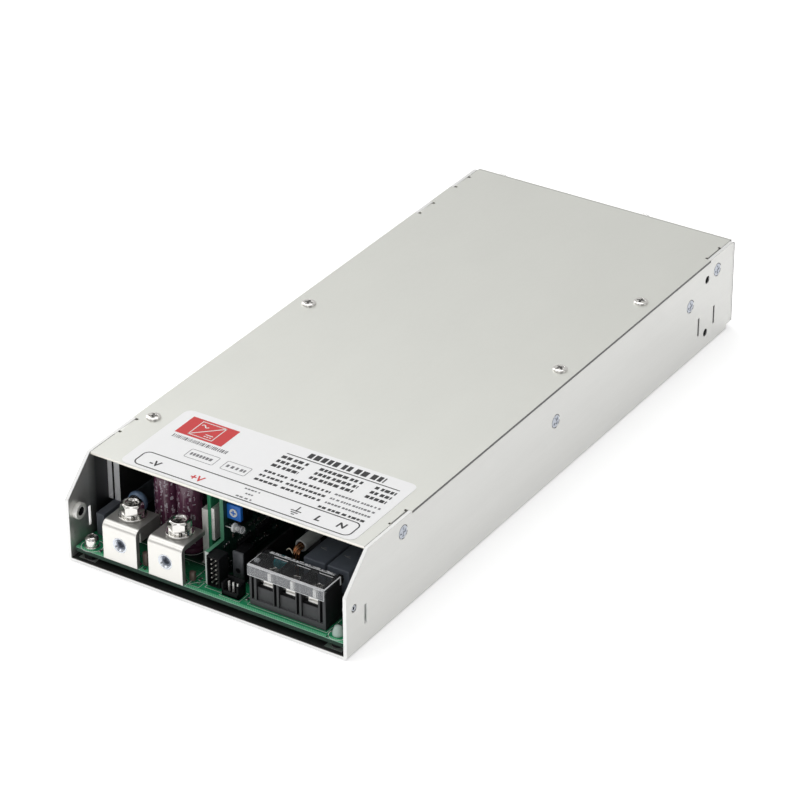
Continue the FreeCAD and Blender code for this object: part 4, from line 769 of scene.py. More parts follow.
bolts, flats, springs, bushes = Solid(), Solid(), Solid(), Solid()
stacks = zip(solids_of("output_bolts"), solids_of("spring_washers"), solids_of("flat_washers"), (0.35, 0.12))
for (x, y, z), spring, flat, turn in stacks:
    axis = at(mid(x), mid(y))
    seat = spring[2][1]
    tall = z[1] - seat

    def crown(r):
        """Height of the bolt's head, with its chamfer and its dish."""
        return tall - 0.85 * clamp((r - 3.5) / 1.12) - 0.6 * clamp((2.7 - r) / 0.4)

    bolts.add(head(hexagon, crown, (1.05, 2.2, 1.7), 34, 96, turn=turn), move=axis @ at(z=seat))
    bolts.add(revolve([(z[0], 0.0), (z[0], 2.0), (z[0] + 0.5, 2.45), (seat + 0.1, 2.45)], 32), move=axis)
    outer = radius_of(flat[0], flat[1])
    flats.add(revolve(ring_profile(outer, WASHER_BORE, *flat[2], 0.22), 72), move=axis)
    outer = radius_of(spring[0], spring[1])
    ring = ring_profile(outer, WASHER_BORE, spring[2][0] + 0.02, seat - 0.02, 0.2)
    springs.add(revolve(ring, 64, -0.9 + SPLIT, TAU - 2 * SPLIT), move=axis)
for x, y, z in solids_of("terminal_nuts"):
    outer = radius_of(x, z)
    inward = stand((mid(x), y[0] - 0.12, mid(z)), TO_REAR)
    deep = size(y) + 0.12
    bush = rounded([(1.1, 1.75), (0.1, 2.6), (0.0, outer), (deep, outer), (deep, 1.62)], 0.22)
    bushes.add(revolve(bush, 56), move=inward)
    # The bore and its thread rings are in the darker zinc, as painted shade
    bushes.add(revolve([(0.75, 2.0), (1.1, 1.72), (deep - 1.4, 1.72), (deep - 1.4, 0.0)], 40), 1, inward)
    for k in range(4):
        bushes.add(hoop(1.60, 0.12, 44, 8), 1, inward @ at(z=1.0 + 0.55 * k))
bolts.make("terminal_bolts", "nickel_steel", ["nickel", "recess"], replaces=["output_bolts"])
flats.make("terminal_flat_washers", "nickel_steel", ["nickel"], replaces=["flat_washers"])
springs.make("terminal_spring_washers", "nickel_steel", ["nickel"], replaces=["spring_washers"])
bushes.make("terminal_bushes", "zinc_steel", ["zinc", "bore"], replaces=["terminal_nuts"])


# Output side: capacitors with printed sleeves and painted glints, dipped discs

cans = Solid()
for x, y, z in solids_of("output_capacitors"):
    radius = size(x) / 2 / math.cos(math.pi / 16)
    axis = at(mid(x), mid(y))
    profile = rounded([(z[0], 0.0), (z[0], radius - 0.2), (z[0] + 1.5, radius), (z[0] + 2.3, radius - 0.35),
                       (z[0] + 3.1, radius), (z[1] - 0.6, radius), (z[1], radius - 0.6),
                       (z[1], radius - 1.2)], 0.4)
    cans.add(revolve(profile, 64), move=axis)
    lid = [(z[1] - 0.1, radius - 1.1), (z[1] - 0.25, radius - 1.5), (z[1] - 0.25, 0.0)]
    cans.add(revolve(lid, 48), 1, axis)
    # Pale streaks on the sleeves' front stand for print and for painted glints on the crinkled wrap
    out = radius + 0.03
    for k in range(70):
        a = -2.3 + 0.42 * chance.randrange(5) + chance.uniform(-0.08, 0.08)
        height = chance.uniform(z[0] + 4.0, z[1] - 2.0)
        wide, tall, lean = chance.uniform(0.02, 0.09), chance.uniform(0.3, 1.5), chance.uniform(-0.1, 0.1)
        corners = ((-wide, 0), (wide, 0), (wide + lean, tall), (lean - wide, tall))
        cans.add(([polar(out, a + d, height + h) for d, h in corners], QUAD), 2, axis)
cans.make("sleeved_capacitors", "purple_sleeve", ["sleeve", "can_top", "print"],
          replaces=["output_capacitors"])


def dipped_disc(name, slot, key, replaced):
    """Dip-coated disc with runs of coating down its two leads."""
    spans = box_of(replaced)
    radius = size(spans[0]) / 2
    deep = size(spans[1]) / 2
    x, y, z = mid(spans[0]), mid(spans[1]), spans[2][1] - radius
    disc = Solid()
    slope = [(1.0, 0.0), (0.98, 0.45), (0.82, 0.78), (0.45, 0.96)]
    profile = [(-deep * d, radius * r) for d, r in slope] + [(0.0, radius)]
    profile += [(deep * d, radius * r) for d, r in slope[::-1]]
    disc.add(revolve(profile, 56), move=stand((x, y, z), TO_REAR))
    for side in BOTH_SIDES:
        lead = x + side * radius / 2
        run = [(lead, y, z - radius * 0.6), (lead, y, z - radius * 0.95), (lead, y, z - radius - 1.0)]
        disc.add(tube(run, 0.75, 12, [1.0, 0.9, 0.5]))
        disc.add(tube([(lead, y, z - radius), (lead, y, BOARD_TOP)], 0.32, 10), 1)
    disc.make(name, slot, [key, "solder"], replaces=[replaced])


dipped_disc("blue_disc_capacitor", "blue_coating", "blue_disc", "disc_capacitor")
dipped_disc("teal_varistor", "teal_coating", "teal_disc", "varistor")


# Control board, trimmer, indicator

CARD_X, CARD_Y, CARD_Z = box_of("control_board")
FACE = CARD_X[1]

trim = Solid()
x, y, z = box_of("trimmer_body")
TRIMMER_REAR = y[1]
dial_x, dial_y, dial_z = box_of("trimmer_rotor")
trim.add(brick(x, (y[0], y[0] + 1.6), z, 0.25))
# Behind its front 1.6 mm the blue body is jet black, as painted shade on its sides
trim.add(brick((x[0], x[1] - 0.2), (y[0] + 1.5, y[1]), (z[0] + 0.2, z[1] - 0.2), 0.1), 1)
collar = stand((mid(dial_x), y[0] - 0.06, mid(dial_z)), TO_REAR)
trim.add(revolve([(0.0, 1.75), (0.0, 2.35), (0.12, 2.45)], 40), 0, collar)
trim.make("trimmer_housing", "blue_plastic", ["blue", "jet"], replaces=["trimmer_body"])

rotor = Solid()
radius = size(dial_x) / 2
dial = head(lambda a: radius, lambda r: -0.12 * clamp((r - radius + 0.3) / 0.3), (0.62, 1.25, 0.4), 20, 48,
            foot=-size(dial_y) + 0.1)
rotor.add(dial, move=stand((mid(dial_x), dial_y[0], mid(dial_z)), TO_FRONT))
rotor.make("trimmer_dial", "white_nylon", ["nylon", "blue"], body="voltage_trimmer",
           replaces=["trimmer_rotor"])

LEAD, BULB = 3.4, 1.5
lens = Solid()
x, y, z = box_of("status_led")
LED_LOW = z[0]
long = x[1] - FACE - LEAD
outward = stand((FACE + LEAD, mid(y), mid(z)), TO_RIGHT)
flange = radius_of(y, z)
profile = [(0.0, 0.0), (0.0, flange), (0.85, flange), (0.95, BULB), (long - BULB, BULB)]
for a in (0.3, 0.6, 0.9, 1.2, 1.4):
    profile.append((long - BULB + BULB * math.sin(a), BULB * math.cos(a)))
lens.add(revolve(profile + [(long, 0.0)], 40), move=outward)
lens.add(revolve([(0.6, 0.0), (0.6, 0.5), (2.0, 0.95), (2.0, 0.7), (1.5, 0.0)], 24), 2, outward)
lens.add(revolve(ring_profile(flange - 0.08, 0.2, 0.06, 0.78, 0.1), 40), 2, outward)
lens.add(hoop(BULB - 0.12, 0.1, 40, 8), 2, outward @ at(z=long - 1.4))
for step in (-0.8, 0.8):
    lens.add(brick((FACE + 0.02, FACE + LEAD + 0.2), span(mid(y) + step, 0.5), span(mid(z), 0.5), 0.08), 1)
lens.make("indicator_lens", "clear_plastic", ["led", "solder", "white_ink"], replaces=["status_led"])

# Chips and small parts soldered on the face of the control board
PIN_PITCH, PARTS_END = 1.27, -70.0
STEP_Y, STEP_Z = CARD_Y[0] + 10.2, CARD_Z[0] + 14.4
parts = Solid()
taken = []
for x, y, z in solids_of("control_chips"):
    taken.append((y[0] - 0.6, y[1] + 0.6, z[0] - 0.9, z[1] + 0.9))
    parts.add(brick((x[0] + 0.1, x[1]), y, (z[0] + 0.5, z[1] - 0.5), 0.15))
    count = int(size(y) / PIN_PITCH)
    for k in range(count):
        for side in BOTH_SIDES:
            pin_y = mid(y) + PIN_PITCH * (k - (count - 1) / 2)
            pin_z = mid(z) + side * (size(z) / 2 + 0.05)
            parts.add(brick((FACE, FACE + 0.7), span(pin_y, 0.42), span(pin_z, 1.1), 0.05, 1), 1)
x, y, z = box_of("signal_header")
taken.append((y[0] - 2.0, y[1] + 0.8, z[0] - 1.0, z[1] + 0.8))
taken.append((STEP_Y, TRIMMER_REAR + 1.0, LED_LOW - 0.8, CARD_Z[1]))
for k in range(150):
    y = chance.uniform(CARD_Y[0] + 1.2, PARTS_END)
    z = chance.uniform(CARD_Z[0] + 1.2, STEP_Z - 1.2 if y < STEP_Y + 1.2 else CARD_Z[1] - 1.2)
    if any(a - 1.0 < y < b + 1.0 and c - 1.0 < z < d + 1.0 for a, b, c, d in taken):
        continue
    taken.append((y - 0.6, y + 0.6, z - 0.6, z + 0.6))
    body, *caps = chip_spans(y, z, chance.random() < 0.5, (1.1, 0.7), (0.45, 1.15), 0.75)
    parts.add(brick((FACE, FACE + 0.6), *body, 0.05, 1), 2 if k % 3 else 4)
    for cap in caps:
        parts.add(brick((FACE, FACE + 0.62), *cap, 0.05, 1), 1)
through = (CARD_X[0] - 0.01, CARD_X[1] + 0.01)
for y, z, number in (((CARD_Y[0] - 0.05, CARD_Y[0] + 0.06), (CARD_Z[0], STEP_Z), 5),
                     ((STEP_Y - 0.05, STEP_Y + 0.06), (STEP_Z, CARD_Z[1]), 3),
                     ((CARD_Y[0], STEP_Y), (STEP_Z - 0.06, STEP_Z + 0.05), 3),
                     ((STEP_Y, CARD_Y[1]), (CARD_Z[1] - 0.06, CARD_Z[1]), 3)):
    parts.add(brick(through, y, z, 0.0), number)
parts.make("control_board_parts", "black_plastic",
           ["black", "solder", "panel", "edge_green", "tan", "edge_white"], replaces=["control_chips"])

# Connectors at the front
plug = Solid()
x, y, z = box_of("sense_connector")
hole = stand((mid(x), y[0] - 0.02, z[0] + 0.40 * size(z)), TO_REAR)
plug.add(brick((x[0] + 0.15, x[1] - 0.15), (y[0] + 0.5, y[1]), (z[0], z[1] - 0.1), 0.2), 1)
plug.add(brick(x, (y[0], y[0] + 0.9), (z[0] + 0.12 * size(z), z[1]), 0.2), 0)
# The hole is a jet black disc, as painted shade
plug.add(revolve([(0.0, 0.0), (0.0, 0.95)], 32), 1, hole)
plug.add(revolve([(0.0, 0.95), (0.0, 1.3), (0.1, 1.35)], 32), 2, hole)
plug.make("sense_plug", "grey_plastic", ["grey", "jet", "panel"], replaces=["sense_connector"])

shroud = Solid()
x, y, z = box_of("aux_header")
low_side = (z[0], z[1] - 0.9)
for wall in ((x, y, (z[0], z[0] + 0.9)), (x, (y[1] - 0.8, y[1]), z), ((x[0], x[0] + 0.8), y, low_side),
             ((x[1] - 0.8, x[1]), y, low_side), (x, (y[0], y[0] + 0.8), (z[0], z[0] + 2.4))):
    shroud.add(brick(*wall, 0.15))
shroud.make("aux_shroud", "black_plastic", ["jet"], replaces=["aux_header"])

# Solder runs hold the terminals and bars to the board
solder = Solid()
cone = revolve([(0.0, 1.5), (0.25, 1.25), (0.9, 0.7), (1.2, 0.0)], 20)
for name in ("negative_terminal", "positive_terminal"):
    middle = mid(box_of(name)[0])
    for dx in (-6.0, -2.0, 2.0, 6.0):
        solder.add(cone, move=at(middle + dx, BOARD_FRONT + 3.2, BOARD_TOP))
cone = revolve([(0.0, 1.1), (0.3, 0.7), (1.1, 0.3), (1.2, 0.0)], 16)
x, y, z = box_of("rectifier_bars")
for k in range(7):
    solder.add(cone, move=at(x[0] - 0.4, y[0] + 1.1 + 3.4 * k, BOARD_TOP))
solder.make("solder_fillets", "pin_tin", ["solder"])


# Input block: body with slit partitions, contacts, screws

LID_X, LID_Y, LID_Z = box_of("input_cover")
HEADS = solids_of("input_screws")
POLES = [mid(x) for x, y, z in HEADS]
HINGE_Y, HINGE_Z = LID_Y[1] - 1.0, LID_Z[1] - 1.0
BLOCK_TOP = HINGE_Z - 0.8
POLE_FLOOR = box_of("input_contacts")[2][0]
LEFT, RIGHT = BLOCK_X
NEAR, FAR = BLOCK_Y
LOW = BLOCK_Z[0]
FOOT = LOW + 2.7
BACK = FAR - 1.6
block = Solid()
block.add(brick(BLOCK_X, BLOCK_Y, (LOW, FOOT), 0.2))
block.add(brick((LEFT + 0.3, RIGHT - 0.3), (NEAR + 1.7, BACK + 0.2), (LOW + 0.2, POLE_FLOOR), 0.1))
block.add(brick(BLOCK_X, (BACK - 0.5, FAR), (LOW, POLE_FLOOR + 0.5), 0.2))
block.add(brick(BLOCK_X, (BACK, FAR), (BLOCK_TOP - 1.0, BLOCK_TOP), 0.2))
ribs = [(LEFT, LEFT + 1.0), (LEFT + 2.0, POLES[0] - 3.75)]
for pole, following in zip(POLES, POLES[1:]):
    ribs += [(pole + 3.55, pole + 4.1), (following - 4.8, following - 3.75)]
ribs += [(POLES[-1] + 3.55, POLES[-1] + 4.4), (RIGHT - 1.35, RIGHT)]
for rib in ribs:
    block.add(brick(rib, (NEAR, BACK), (FOOT - 0.3, BLOCK_TOP), 0.12))
# Each slit between paired ribs is filled jet black, as painted shade in the gap
for rib, following in zip(ribs[::2], ribs[1::2]):
    slit = (rib[1] - 0.1, following[0] + 0.1)
    block.add(brick(slit, (NEAR + 1.6, BACK), (FOOT - 0.3, BLOCK_TOP - 0.3), 0.05, 1), 1)
for x in POLES:
    block.add(brick((x - 3.8, x + 3.6), (NEAR + 0.8, NEAR + 1.9), (FOOT - 0.2, POLE_FLOOR - 0.7), 0.15))
for ear in ((LEFT, LEFT + 2.2), (RIGHT - 2.2, RIGHT)):
    block.add(brick(ear, (FAR - 3.8, FAR), (BLOCK_TOP - 2.2, HINGE_Z + 0.6), 0.6, 4))
block.make("input_block_body", "black_plastic", ["block", "jet"], replaces=["input_block"])

# Contact plates in the lighter tin, as painted highlight
plates = Solid()
for x in POLES:
    plates.add(brick((x - 2.0, x + 3.4), (NEAR + 1.9, BACK - 0.6), (POLE_FLOOR, POLE_FLOOR + 0.8), 0.15))
    plates.add(brick((x - 0.1, x + 1.5), (NEAR + 2.0, NEAR + 2.5), (POLE_FLOOR + 1.9, BLOCK_TOP - 1.7), 0.15))
plates.make("contact_plates", "tinned_plate", ["lit_tin"], replaces=["input_contacts"])

heads = Solid()
seat = box_of("input_clamps")[2][1]
for (x, y, z), turn in zip(HEADS, (0.2, 0.9, 0.5)):
    radius = radius_of(x, y)
    axis = at(mid(x), mid(y))
    ring = ring_profile(radius - 0.2, 1.7, seat, seat + 0.9, 0.15)
    heads.add(revolve(ring, 48, 0.4, TAU - 0.3), move=axis)
    heads.add(pan(radius - 0.25, 2.6, turn), move=axis @ at(z=seat + 0.95))
    heads.add(revolve([(z[0], 0.0), (z[0], 1.65), (seat + 1.0, 1.65)], 24), move=axis)
heads.make("input_screw_heads", "nickel_steel", ["nickel", "recess"], replaces=["input_screws"])


# Relays, sleeve and lead behind the input block

boxes = Solid()
ticks = Print(box_of("relays")[2][1] + 0.02)
for x, y, z in solids_of("relays"):
    boxes.add(brick(x, y, z, 0.45, 3))
    start = Vector((mid(x) - 2.0, mid(y)))
    for step in ((-0.9, 0.5), (1.3, 1.1), (2.2, -0.3)):
        ticks.ribbon([start, start + Vector(step)], 0.35)
boxes.make("relay_cases", "black_plastic", ["relay"], replaces=["relays"])
ticks.make("relay_marks", "black_plastic", ["grey_print_and_shaded_sleeve"])

# The white nylon sleeve is grey, as painted shade
sleeve = Solid()
x, y, z = box_of("choke_sleeve")
sleeve_x, sleeve_y, sleeve_z = mid(x), y[0], mid(z)
outer, long = radius_of(x, z), size(y)
bore = outer - 0.7
wall = rounded([(0.0, bore), (0.0, outer), (long, outer), (long, bore), (0.0, bore)], 0.25)
sleeve.add(revolve(wall, 40), move=stand((sleeve_x, sleeve_y, sleeve_z), TO_REAR))
sleeve.make("lead_sleeve", "white_nylon", ["grey_print_and_shaded_sleeve"], replaces=["choke_sleeve"])

BEND, OUT_UNTIL, BENT_UNTIL, TWIST = 2.0, 0.35, 0.6, 4.0


def lead_place(t):
    """Middle and upper side of the lead: out of the sleeve, round a bend, down to the board."""
    if t < OUT_UNTIL:
        return Vector((sleeve_x, sleeve_y + 4.4 - 5.4 * t / OUT_UNTIL, sleeve_z)), Vector(UP)
    bent_z = sleeve_z - BEND
    if t < BENT_UNTIL:
        c, s, _ = polar(1.0, (t - OUT_UNTIL) / (BENT_UNTIL - OUT_UNTIL) * TAU / 4)
        return Vector((sleeve_x, sleeve_y - 1.0 - BEND * s, bent_z + BEND * c)), Vector((0, -s, c))
    s = (t - BENT_UNTIL) / (1 - BENT_UNTIL)
    down = bent_z - (bent_z - BOARD_TOP) * s
    return Vector((sleeve_x - 1.2 * s, sleeve_y - 1.0 - BEND, down)), Vector(TO_FRONT)


strands = Solid()
for k in range(10):
    off = 0.0 if k == 9 else 1.15
    path = []
    for i in range(40):
        t = i / 39
        base, up = lead_place(t)
        across, over, _ = polar(off, TAU * k / 9 + TWIST * t)
        path.append(base + Vector(TO_RIGHT) * across + up * over)
    strands.add(tube(path, 0.28, 8), k % 2)
loop = []
for i in range(16):
    s = i / 15
    height = sleeve_z - 3.0 + 1.6 * math.sin(math.pi * s)
    loop.append((sleeve_x - 5.6 + 4.4 * s, sleeve_y - 1.2 - 1.8 * s, height))
strands.add(tube(loop, 0.2, 8), 2)
strands.make("copper_strands", "copper_strand", ["copper", "dark_copper", "pale_wire"],
             replaces=["choke_lead"])


# Clear hinged cover of the input block

lid = Solid()
X0, X1 = LID_X
FRONT, TOP, LIP = LID_Y[0], LID_Z[1], LID_Z[0]
SHEET = 0.9
EAR_FRONT = HINGE_Y - 2.2
lid.add(brick(LID_X, (FRONT + SHEET, EAR_FRONT), (TOP - SHEET, TOP), 0.0))
lid.add(brick((LEFT + 2.5, RIGHT - 2.5), (EAR_FRONT, HINGE_Y), (TOP - SHEET, TOP), 0.0))
lid.add(brick(LID_X, (FRONT, FRONT + SHEET), (LIP, TOP), 0.2), 2)
lid.add(tube([(LEFT + 0.1, HINGE_Y, HINGE_Z), (RIGHT - 0.1, HINGE_Y, HINGE_Z)], 0.98, 32))
# Painted highlights along the edges: start, end, radius
inner = FRONT + (SHEET + 0.1)
for start, end, thick in (
        ((X0 + 0.25, FRONT + 0.26, TOP - 0.26), (X1 - 0.25, FRONT + 0.26, TOP - 0.26), 0.25),
        ((X0 + 0.25, inner, TOP - 0.26), (X1 - 0.25, inner, TOP - 0.26), 0.12),
        ((X1 - 0.15, FRONT + 0.2, TOP - 0.14), (X1 - 0.15, HINGE_Y - 0.3, TOP - 0.14), 0.14),
        ((X1 - 0.4, FRONT + 0.4, TOP - 0.14), (X1 - 0.4, HINGE_Y - 0.3, TOP - 0.14), 0.12),
        ((X0 + 0.12, FRONT + 0.2, TOP - 0.12), (X0 + 0.12, EAR_FRONT - 0.1, TOP - 0.12), 0.08),
        ((X1 - 0.12, FRONT + 0.15, LIP + 0.1), (X1 - 0.12, FRONT + 0.15, TOP - 0.15), 0.11),
        ((X0 + 0.2, FRONT + 0.14, LIP + 0.13), (X1 - 0.2, FRONT + 0.14, LIP + 0.13), 0.12)):
    lid.add(tube([start, end], thick, 8), 1)
lid.add(brick((X0 + 0.02, X0 + 2.0), (FRONT + 4.4, FRONT + 6.0), (TOP - 1.5, TOP - 0.05), 0.35, 3), 2)
between = (LEFT + 2.6, RIGHT - 2.6)
lid.add(brick(between, (HINGE_Y - 0.7, HINGE_Y + 0.5), (TOP - 0.34, TOP - 0.2), 0.04, 1), 2)
# Lumps and a line at the hinge, bars under the sheet, strips at front and right rear carry painted highlights
for k in range(15):
    x = LEFT + 3.5 + 1.85 * k + 0.35 * math.sin(2.6 * k)
    wide = 1.15 + 0.65 * math.sin(1.9 * k + 0.6)
    deep = 0.55 + 0.3 * math.sin(2.3 * k + 1.0)
    rear = HINGE_Y + 0.35 + 0.3 * math.sin(3.1 * k)
    lid.add(brick(span(x, wide), (rear - deep, rear), (TOP - 0.3, TOP - 0.06), 0.05, 1), 1)
lid.add(tube([(x, HINGE_Y - 0.75, TOP - 0.12) for x in between], 0.1, 8), 1)
for x in POLES:
    under = (TOP - SHEET - 0.05, TOP - SHEET + 0.12)
    lid.add(brick((x - 1.8, x + 4.2), span(HINGE_Y - 1.3, 0.3), under, 0.04, 1), 1)
lid.add(brick((X0 + 0.1, X1 - 0.1), (FRONT + 0.1, FRONT + 1.1), (TOP - 0.12, TOP), 0.04, 1), 1)
lid.add(brick((X1 - 0.1, X1), (HINGE_Y - 0.95, HINGE_Y - 0.3), (TOP - 3.6, TOP - 0.2), 0.03, 1), 1)
lid.make("clear_cover_lid", "clear_plastic", ["clear", "clear_highlight", "milky"], body="terminal_cover",
         replaces=["input_cover"])


# Fans: frames, rotors and guards

FAN_Y, FAN_HEIGHT = box_of("fan_frame_left")[1:]
FAN_Z = mid(FAN_HEIGHT)
FRAME_HALF, DUCT = 18.98, 18.0
MOTOR, MOTOR_DEEP, SHAFT_BORE = 10.0, 3.0, 1.1
HUB, SHAFT = 9.5, 1.0
BLADES, CHORD, BLADE_ROOT, BLADE_LONG = 7, 15.0, 8.9, 7.4
WIRE, RING_Y, SPOKE_Y, EYE_OUT = 0.7, 149.18, 148.2, 22.6
SCREW_OUT, SCREW_Y = 16.0, 148.9


def fan_turn(cx, step, count):
    """Moves a shape from the origin to a fan's axis, turned by some of count equal steps."""
    return at(cx, 0, FAN_Z) @ Matrix.Rotation(TAU * step / count, 4, "Y")


def fan_frame(name, cx):
    """Moulded frame: square outside, round duct, motor base on four struts at the rear end."""
    solid = Solid()
    sides = 96
    points, faces = [], []
    for y in FAN_Y:
        for square in (True, False):
            for i in range(sides):
                c, s, _ = polar(1.0, TAU * (i + 0.5) / sides)
                reach = FRAME_HALF / max(abs(c), abs(s)) if square else DUCT
                points.append((cx + c * reach, y, FAN_Z + s * reach))
    for i, j in neighbours(sides):
        for a, b in ((0, 1), (1, 3), (3, 2), (2, 0)):
            faces.append([a * sides + i, a * sides + j, b * sides + j, b * sides + i])
    solid.add((points, faces))
    low, high = FAN_Y[1] - MOTOR_DEEP, FAN_Y[1]
    base = rounded([(low, SHAFT_BORE), (low, MOTOR), (high, MOTOR), (high, SHAFT_BORE)], 0.4)
    solid.add(revolve(base + [(low, SHAFT_BORE)], 64), move=stand((cx, 0, FAN_Z), TO_REAR))
    sticker = revolve([(high - 0.04, 0.0), (high - 0.04, 8.6)], 48)
    solid.add(sticker, 1, stand((cx, 0.06, FAN_Z), TO_REAR))
    strut = brick((MOTOR - 0.4, DUCT + 0.2), (low + 0.05, high - 0.05), (-1.1, 1.1), 0.25)
    for k in range(4):
        solid.add(strut, move=fan_turn(cx, k + 0.5, 4))
    solid.make("fan_housing_" + name, "black_plastic", ["fan", "panel"], replaces=["fan_frame_" + name])


def blade():
    """One swept, cambered blade, upright on the hub."""
    along, out = 12, 6
    row = out + 1
    layer = (along + 1) * row
    points, faces = [], []
    for face in BOTH_SIDES:
        for i in range(along + 1):
            u = i / along - 0.5
            off = 2.1 * (1 - 4 * u * u) + 0.42 * (1 - 0.75 * (2 * u) ** 2) * face
            for j in range(row):
                v = j / out
                pitch = math.radians(38.0 + 5.0 * v)
                x = math.sin(pitch) * CHORD * u + math.cos(pitch) * off + v
                y = math.cos(pitch) * CHORD * u - math.sin(pitch) * off
                up, across, _ = polar(BLADE_ROOT + v * BLADE_LONG, x / 11.5)
                points.append((across, FAN_Y[0] + 12.6 + y, up))
    for first in (0, layer):
        for i in range(along):
            for j in range(out):
                q = first + i * row + j
                faces.append([q, q + 1, q + row + 1, q + row])
    for i in range(along):
        for j in (0, out):
            q = i * row + j
            faces.append([q, q + row, layer + q + row, layer + q])
    for j in range(out):
        for i in (0, along):
            q = i * row + j
            faces.append([q, q + 1, layer + q + 1, layer + q])
    return points, faces


def fan_rotor(name, cx):
    """Hub cup with seven blades and its shaft."""
    solid = Solid()
    low, high, end = FAN_Y[0] + 0.8, FAN_Y[1] - 3.6, FAN_Y[1] - 0.1
    hub = rounded([(low, 0.0), (low, HUB), (high, HUB), (high, SHAFT), (end, SHAFT), (end, 0.0)], 0.9)
    solid.add(revolve(hub, 64), move=stand((cx, 0, FAN_Z), TO_REAR))
    shape = blade()
    for k in range(BLADES):
        solid.add(shape, move=fan_turn(cx, k, BLADES))
    solid.make("fan_impeller_" + name, "black_plastic", ["impeller"], body=name + "_fan_rotor",
               replaces=["fan_rotor_" + name], angle=50.0)


def fan_guard(name, cx):
    """Wire finger guard: rings welded on four spokes whose ends are bent into screw eyes."""
    solid = Solid()
    for radius in (14.6, 8.6):
        solid.add(hoop(radius, WIRE, 96, 14), move=stand((cx, RING_Y, FAN_Z), TO_REAR))
    for k in range(4):
        turn = stand((cx, 0, FAN_Z), TO_REAR) @ Matrix.Rotation(TAU * (k + 0.5) / 4, 4, "Z")
        arm = turn.to_3x3() @ Vector(TO_RIGHT)
        # The eyes without screws stand 1 mm off the panel
        lift = 0.0 if arm.x * arm.z > 0 else 1.0
        path = [(7.6, 0, SPOKE_Y), (14.0, 0, SPOKE_Y), (17.5, 0, SPOKE_Y), (19.6, 0, SPOKE_Y + lift)]
        solid.add(tube(path, WIRE, 14), move=turn)
        solid.add(hoop(2.75 + 0.4 * lift, WIRE, 48, 14), move=turn @ at(EYE_OUT, 0, SPOKE_Y + lift))
    solid.make("finger_guard_" + name, "pin_tin", ["wire"], replaces=["fan_guard_" + name])


FAN_X = {name: mid(box_of("fan_frame_" + name)[0]) for name in ("left", "right")}
screws = Solid()
for name, cx in FAN_X.items():
    fan_frame(name, cx)
    fan_rotor(name, cx)
    fan_guard(name, cx)
    for sign in BOTH_SIDES:
        place = (cx + sign * SCREW_OUT, SCREW_Y, FAN_Z + sign * SCREW_OUT)
        screws.add(pan(2.9, 2.0, any_turn()), move=stand(place, TO_REAR))
screws.make("fan_screw_heads", "zinc_steel", ["side_zinc", "recess"], replaces=["fan_screws"])


# Hidden power parts: lying capacitors

cans = Solid()
for x, y, z in solids_of("bulk_capacitors"):
    r = size(x) / 2
    long = size(y)
    profile = rounded([(0.0, 0.0), (0.0, r - 2.0), (0.4, r - 0.6), (1.6, r), (3.4, r), (4.2, r - 0.6),
                       (5.0, r), (long - 0.8, r), (long, r - 1.0), (long, 0.0)], 0.4)
    cans.add(revolve(profile, 64), move=stand((mid(x), y[0], mid(z)), TO_REAR))
cans.make("bulk_cans", "black_sleeve", ["can"], replaces=["bulk_capacitors"])


# Print on the label, measured from its front left corner

LABEL_X, LABEL_Y, LABEL_Z = box_of("rating_label")
CORNER = (LABEL_X[0], LABEL_Y[0])
EARTH_X = 76.4
ink = Print(LABEL_Z[1] + 0.03, CORNER)
ink.ribbon(round_rect(5.0, 102.0, 1.7, 11.3, 2.6), 0.55, 0, True)
ink.word("-V", 4.7, 12.9, 5.3, 0, 0.0, 0.035)
ink.word("+V", 4.9, 32.2, 5.1, 1, 0.0, 0.03)
ink.word("L", 4.6, 86.0, 6.0, 0, 0.1, 0.04)
ink.word("N", 4.6, 96.0, 6.5, 0, 0.1, 0.035)
for y, reach in ((6.0, 2.3), (4.8, 1.5), (3.6, 0.7)):
    ink.bar(EARTH_X - reach, EARTH_X + reach, y - 0.28, y + 0.28)
ink.bar(EARTH_X - 0.28, EARTH_X + 0.28, 6.0, 9.2)
# Rows: ends, place, height, ink, gap, shortest and longest bar, seed
ink.row(51.4, 58.2, 8.7, 0.85, 2, 0.35, 0.8, 1.6, 3)
ink.row(53.6, 57.6, 5.8, 0.85, 2, 0.35, 0.8, 1.2, 4)
ink.row(51.4, 58.8, 2.8, 0.85, 2, 0.35, 0.8, 1.6, 5)
ink.row(58.6, 92.8, 39.3, 3.5, 0, 0.7, 1.6, 2.6, 11)
ink.bar(50.6, 101.2, 37.7, 38.2)
for k in range(3):
    y = 34.2 - 3.45 * k
    ink.row(50.3, 62.2, y, 1.9, 0, 0.45, 1.2, 2.2, 20 + k)
    ink.row(67.4, 86.6, y, 1.9, 0, 0.45, 1.2, 2.2, 30 + k)
    ink.row(92.2, 101.4, y, 1.9, 0, 0.45, 1.2, 2.0, 40 + k)
for k in range(3):
    y = 22.6 - 3.3 * k
    ink.row(50.4, 60.8, y, 1.4, 0, 0.4, 0.9, 1.8, 50 + k)
    ink.row(62.4, 80.0, y, 1.4, 0, 0.4, 0.9, 1.8, 60 + k)
    ink.row(82.0, 102.0, y + 0.3, 1.1, 2, 0.35, 0.7, 1.3, 70 + k)
ink.row(81.4, 101.6, 12.5, 1.4, 0, 0.4, 1.0, 1.9, 80)
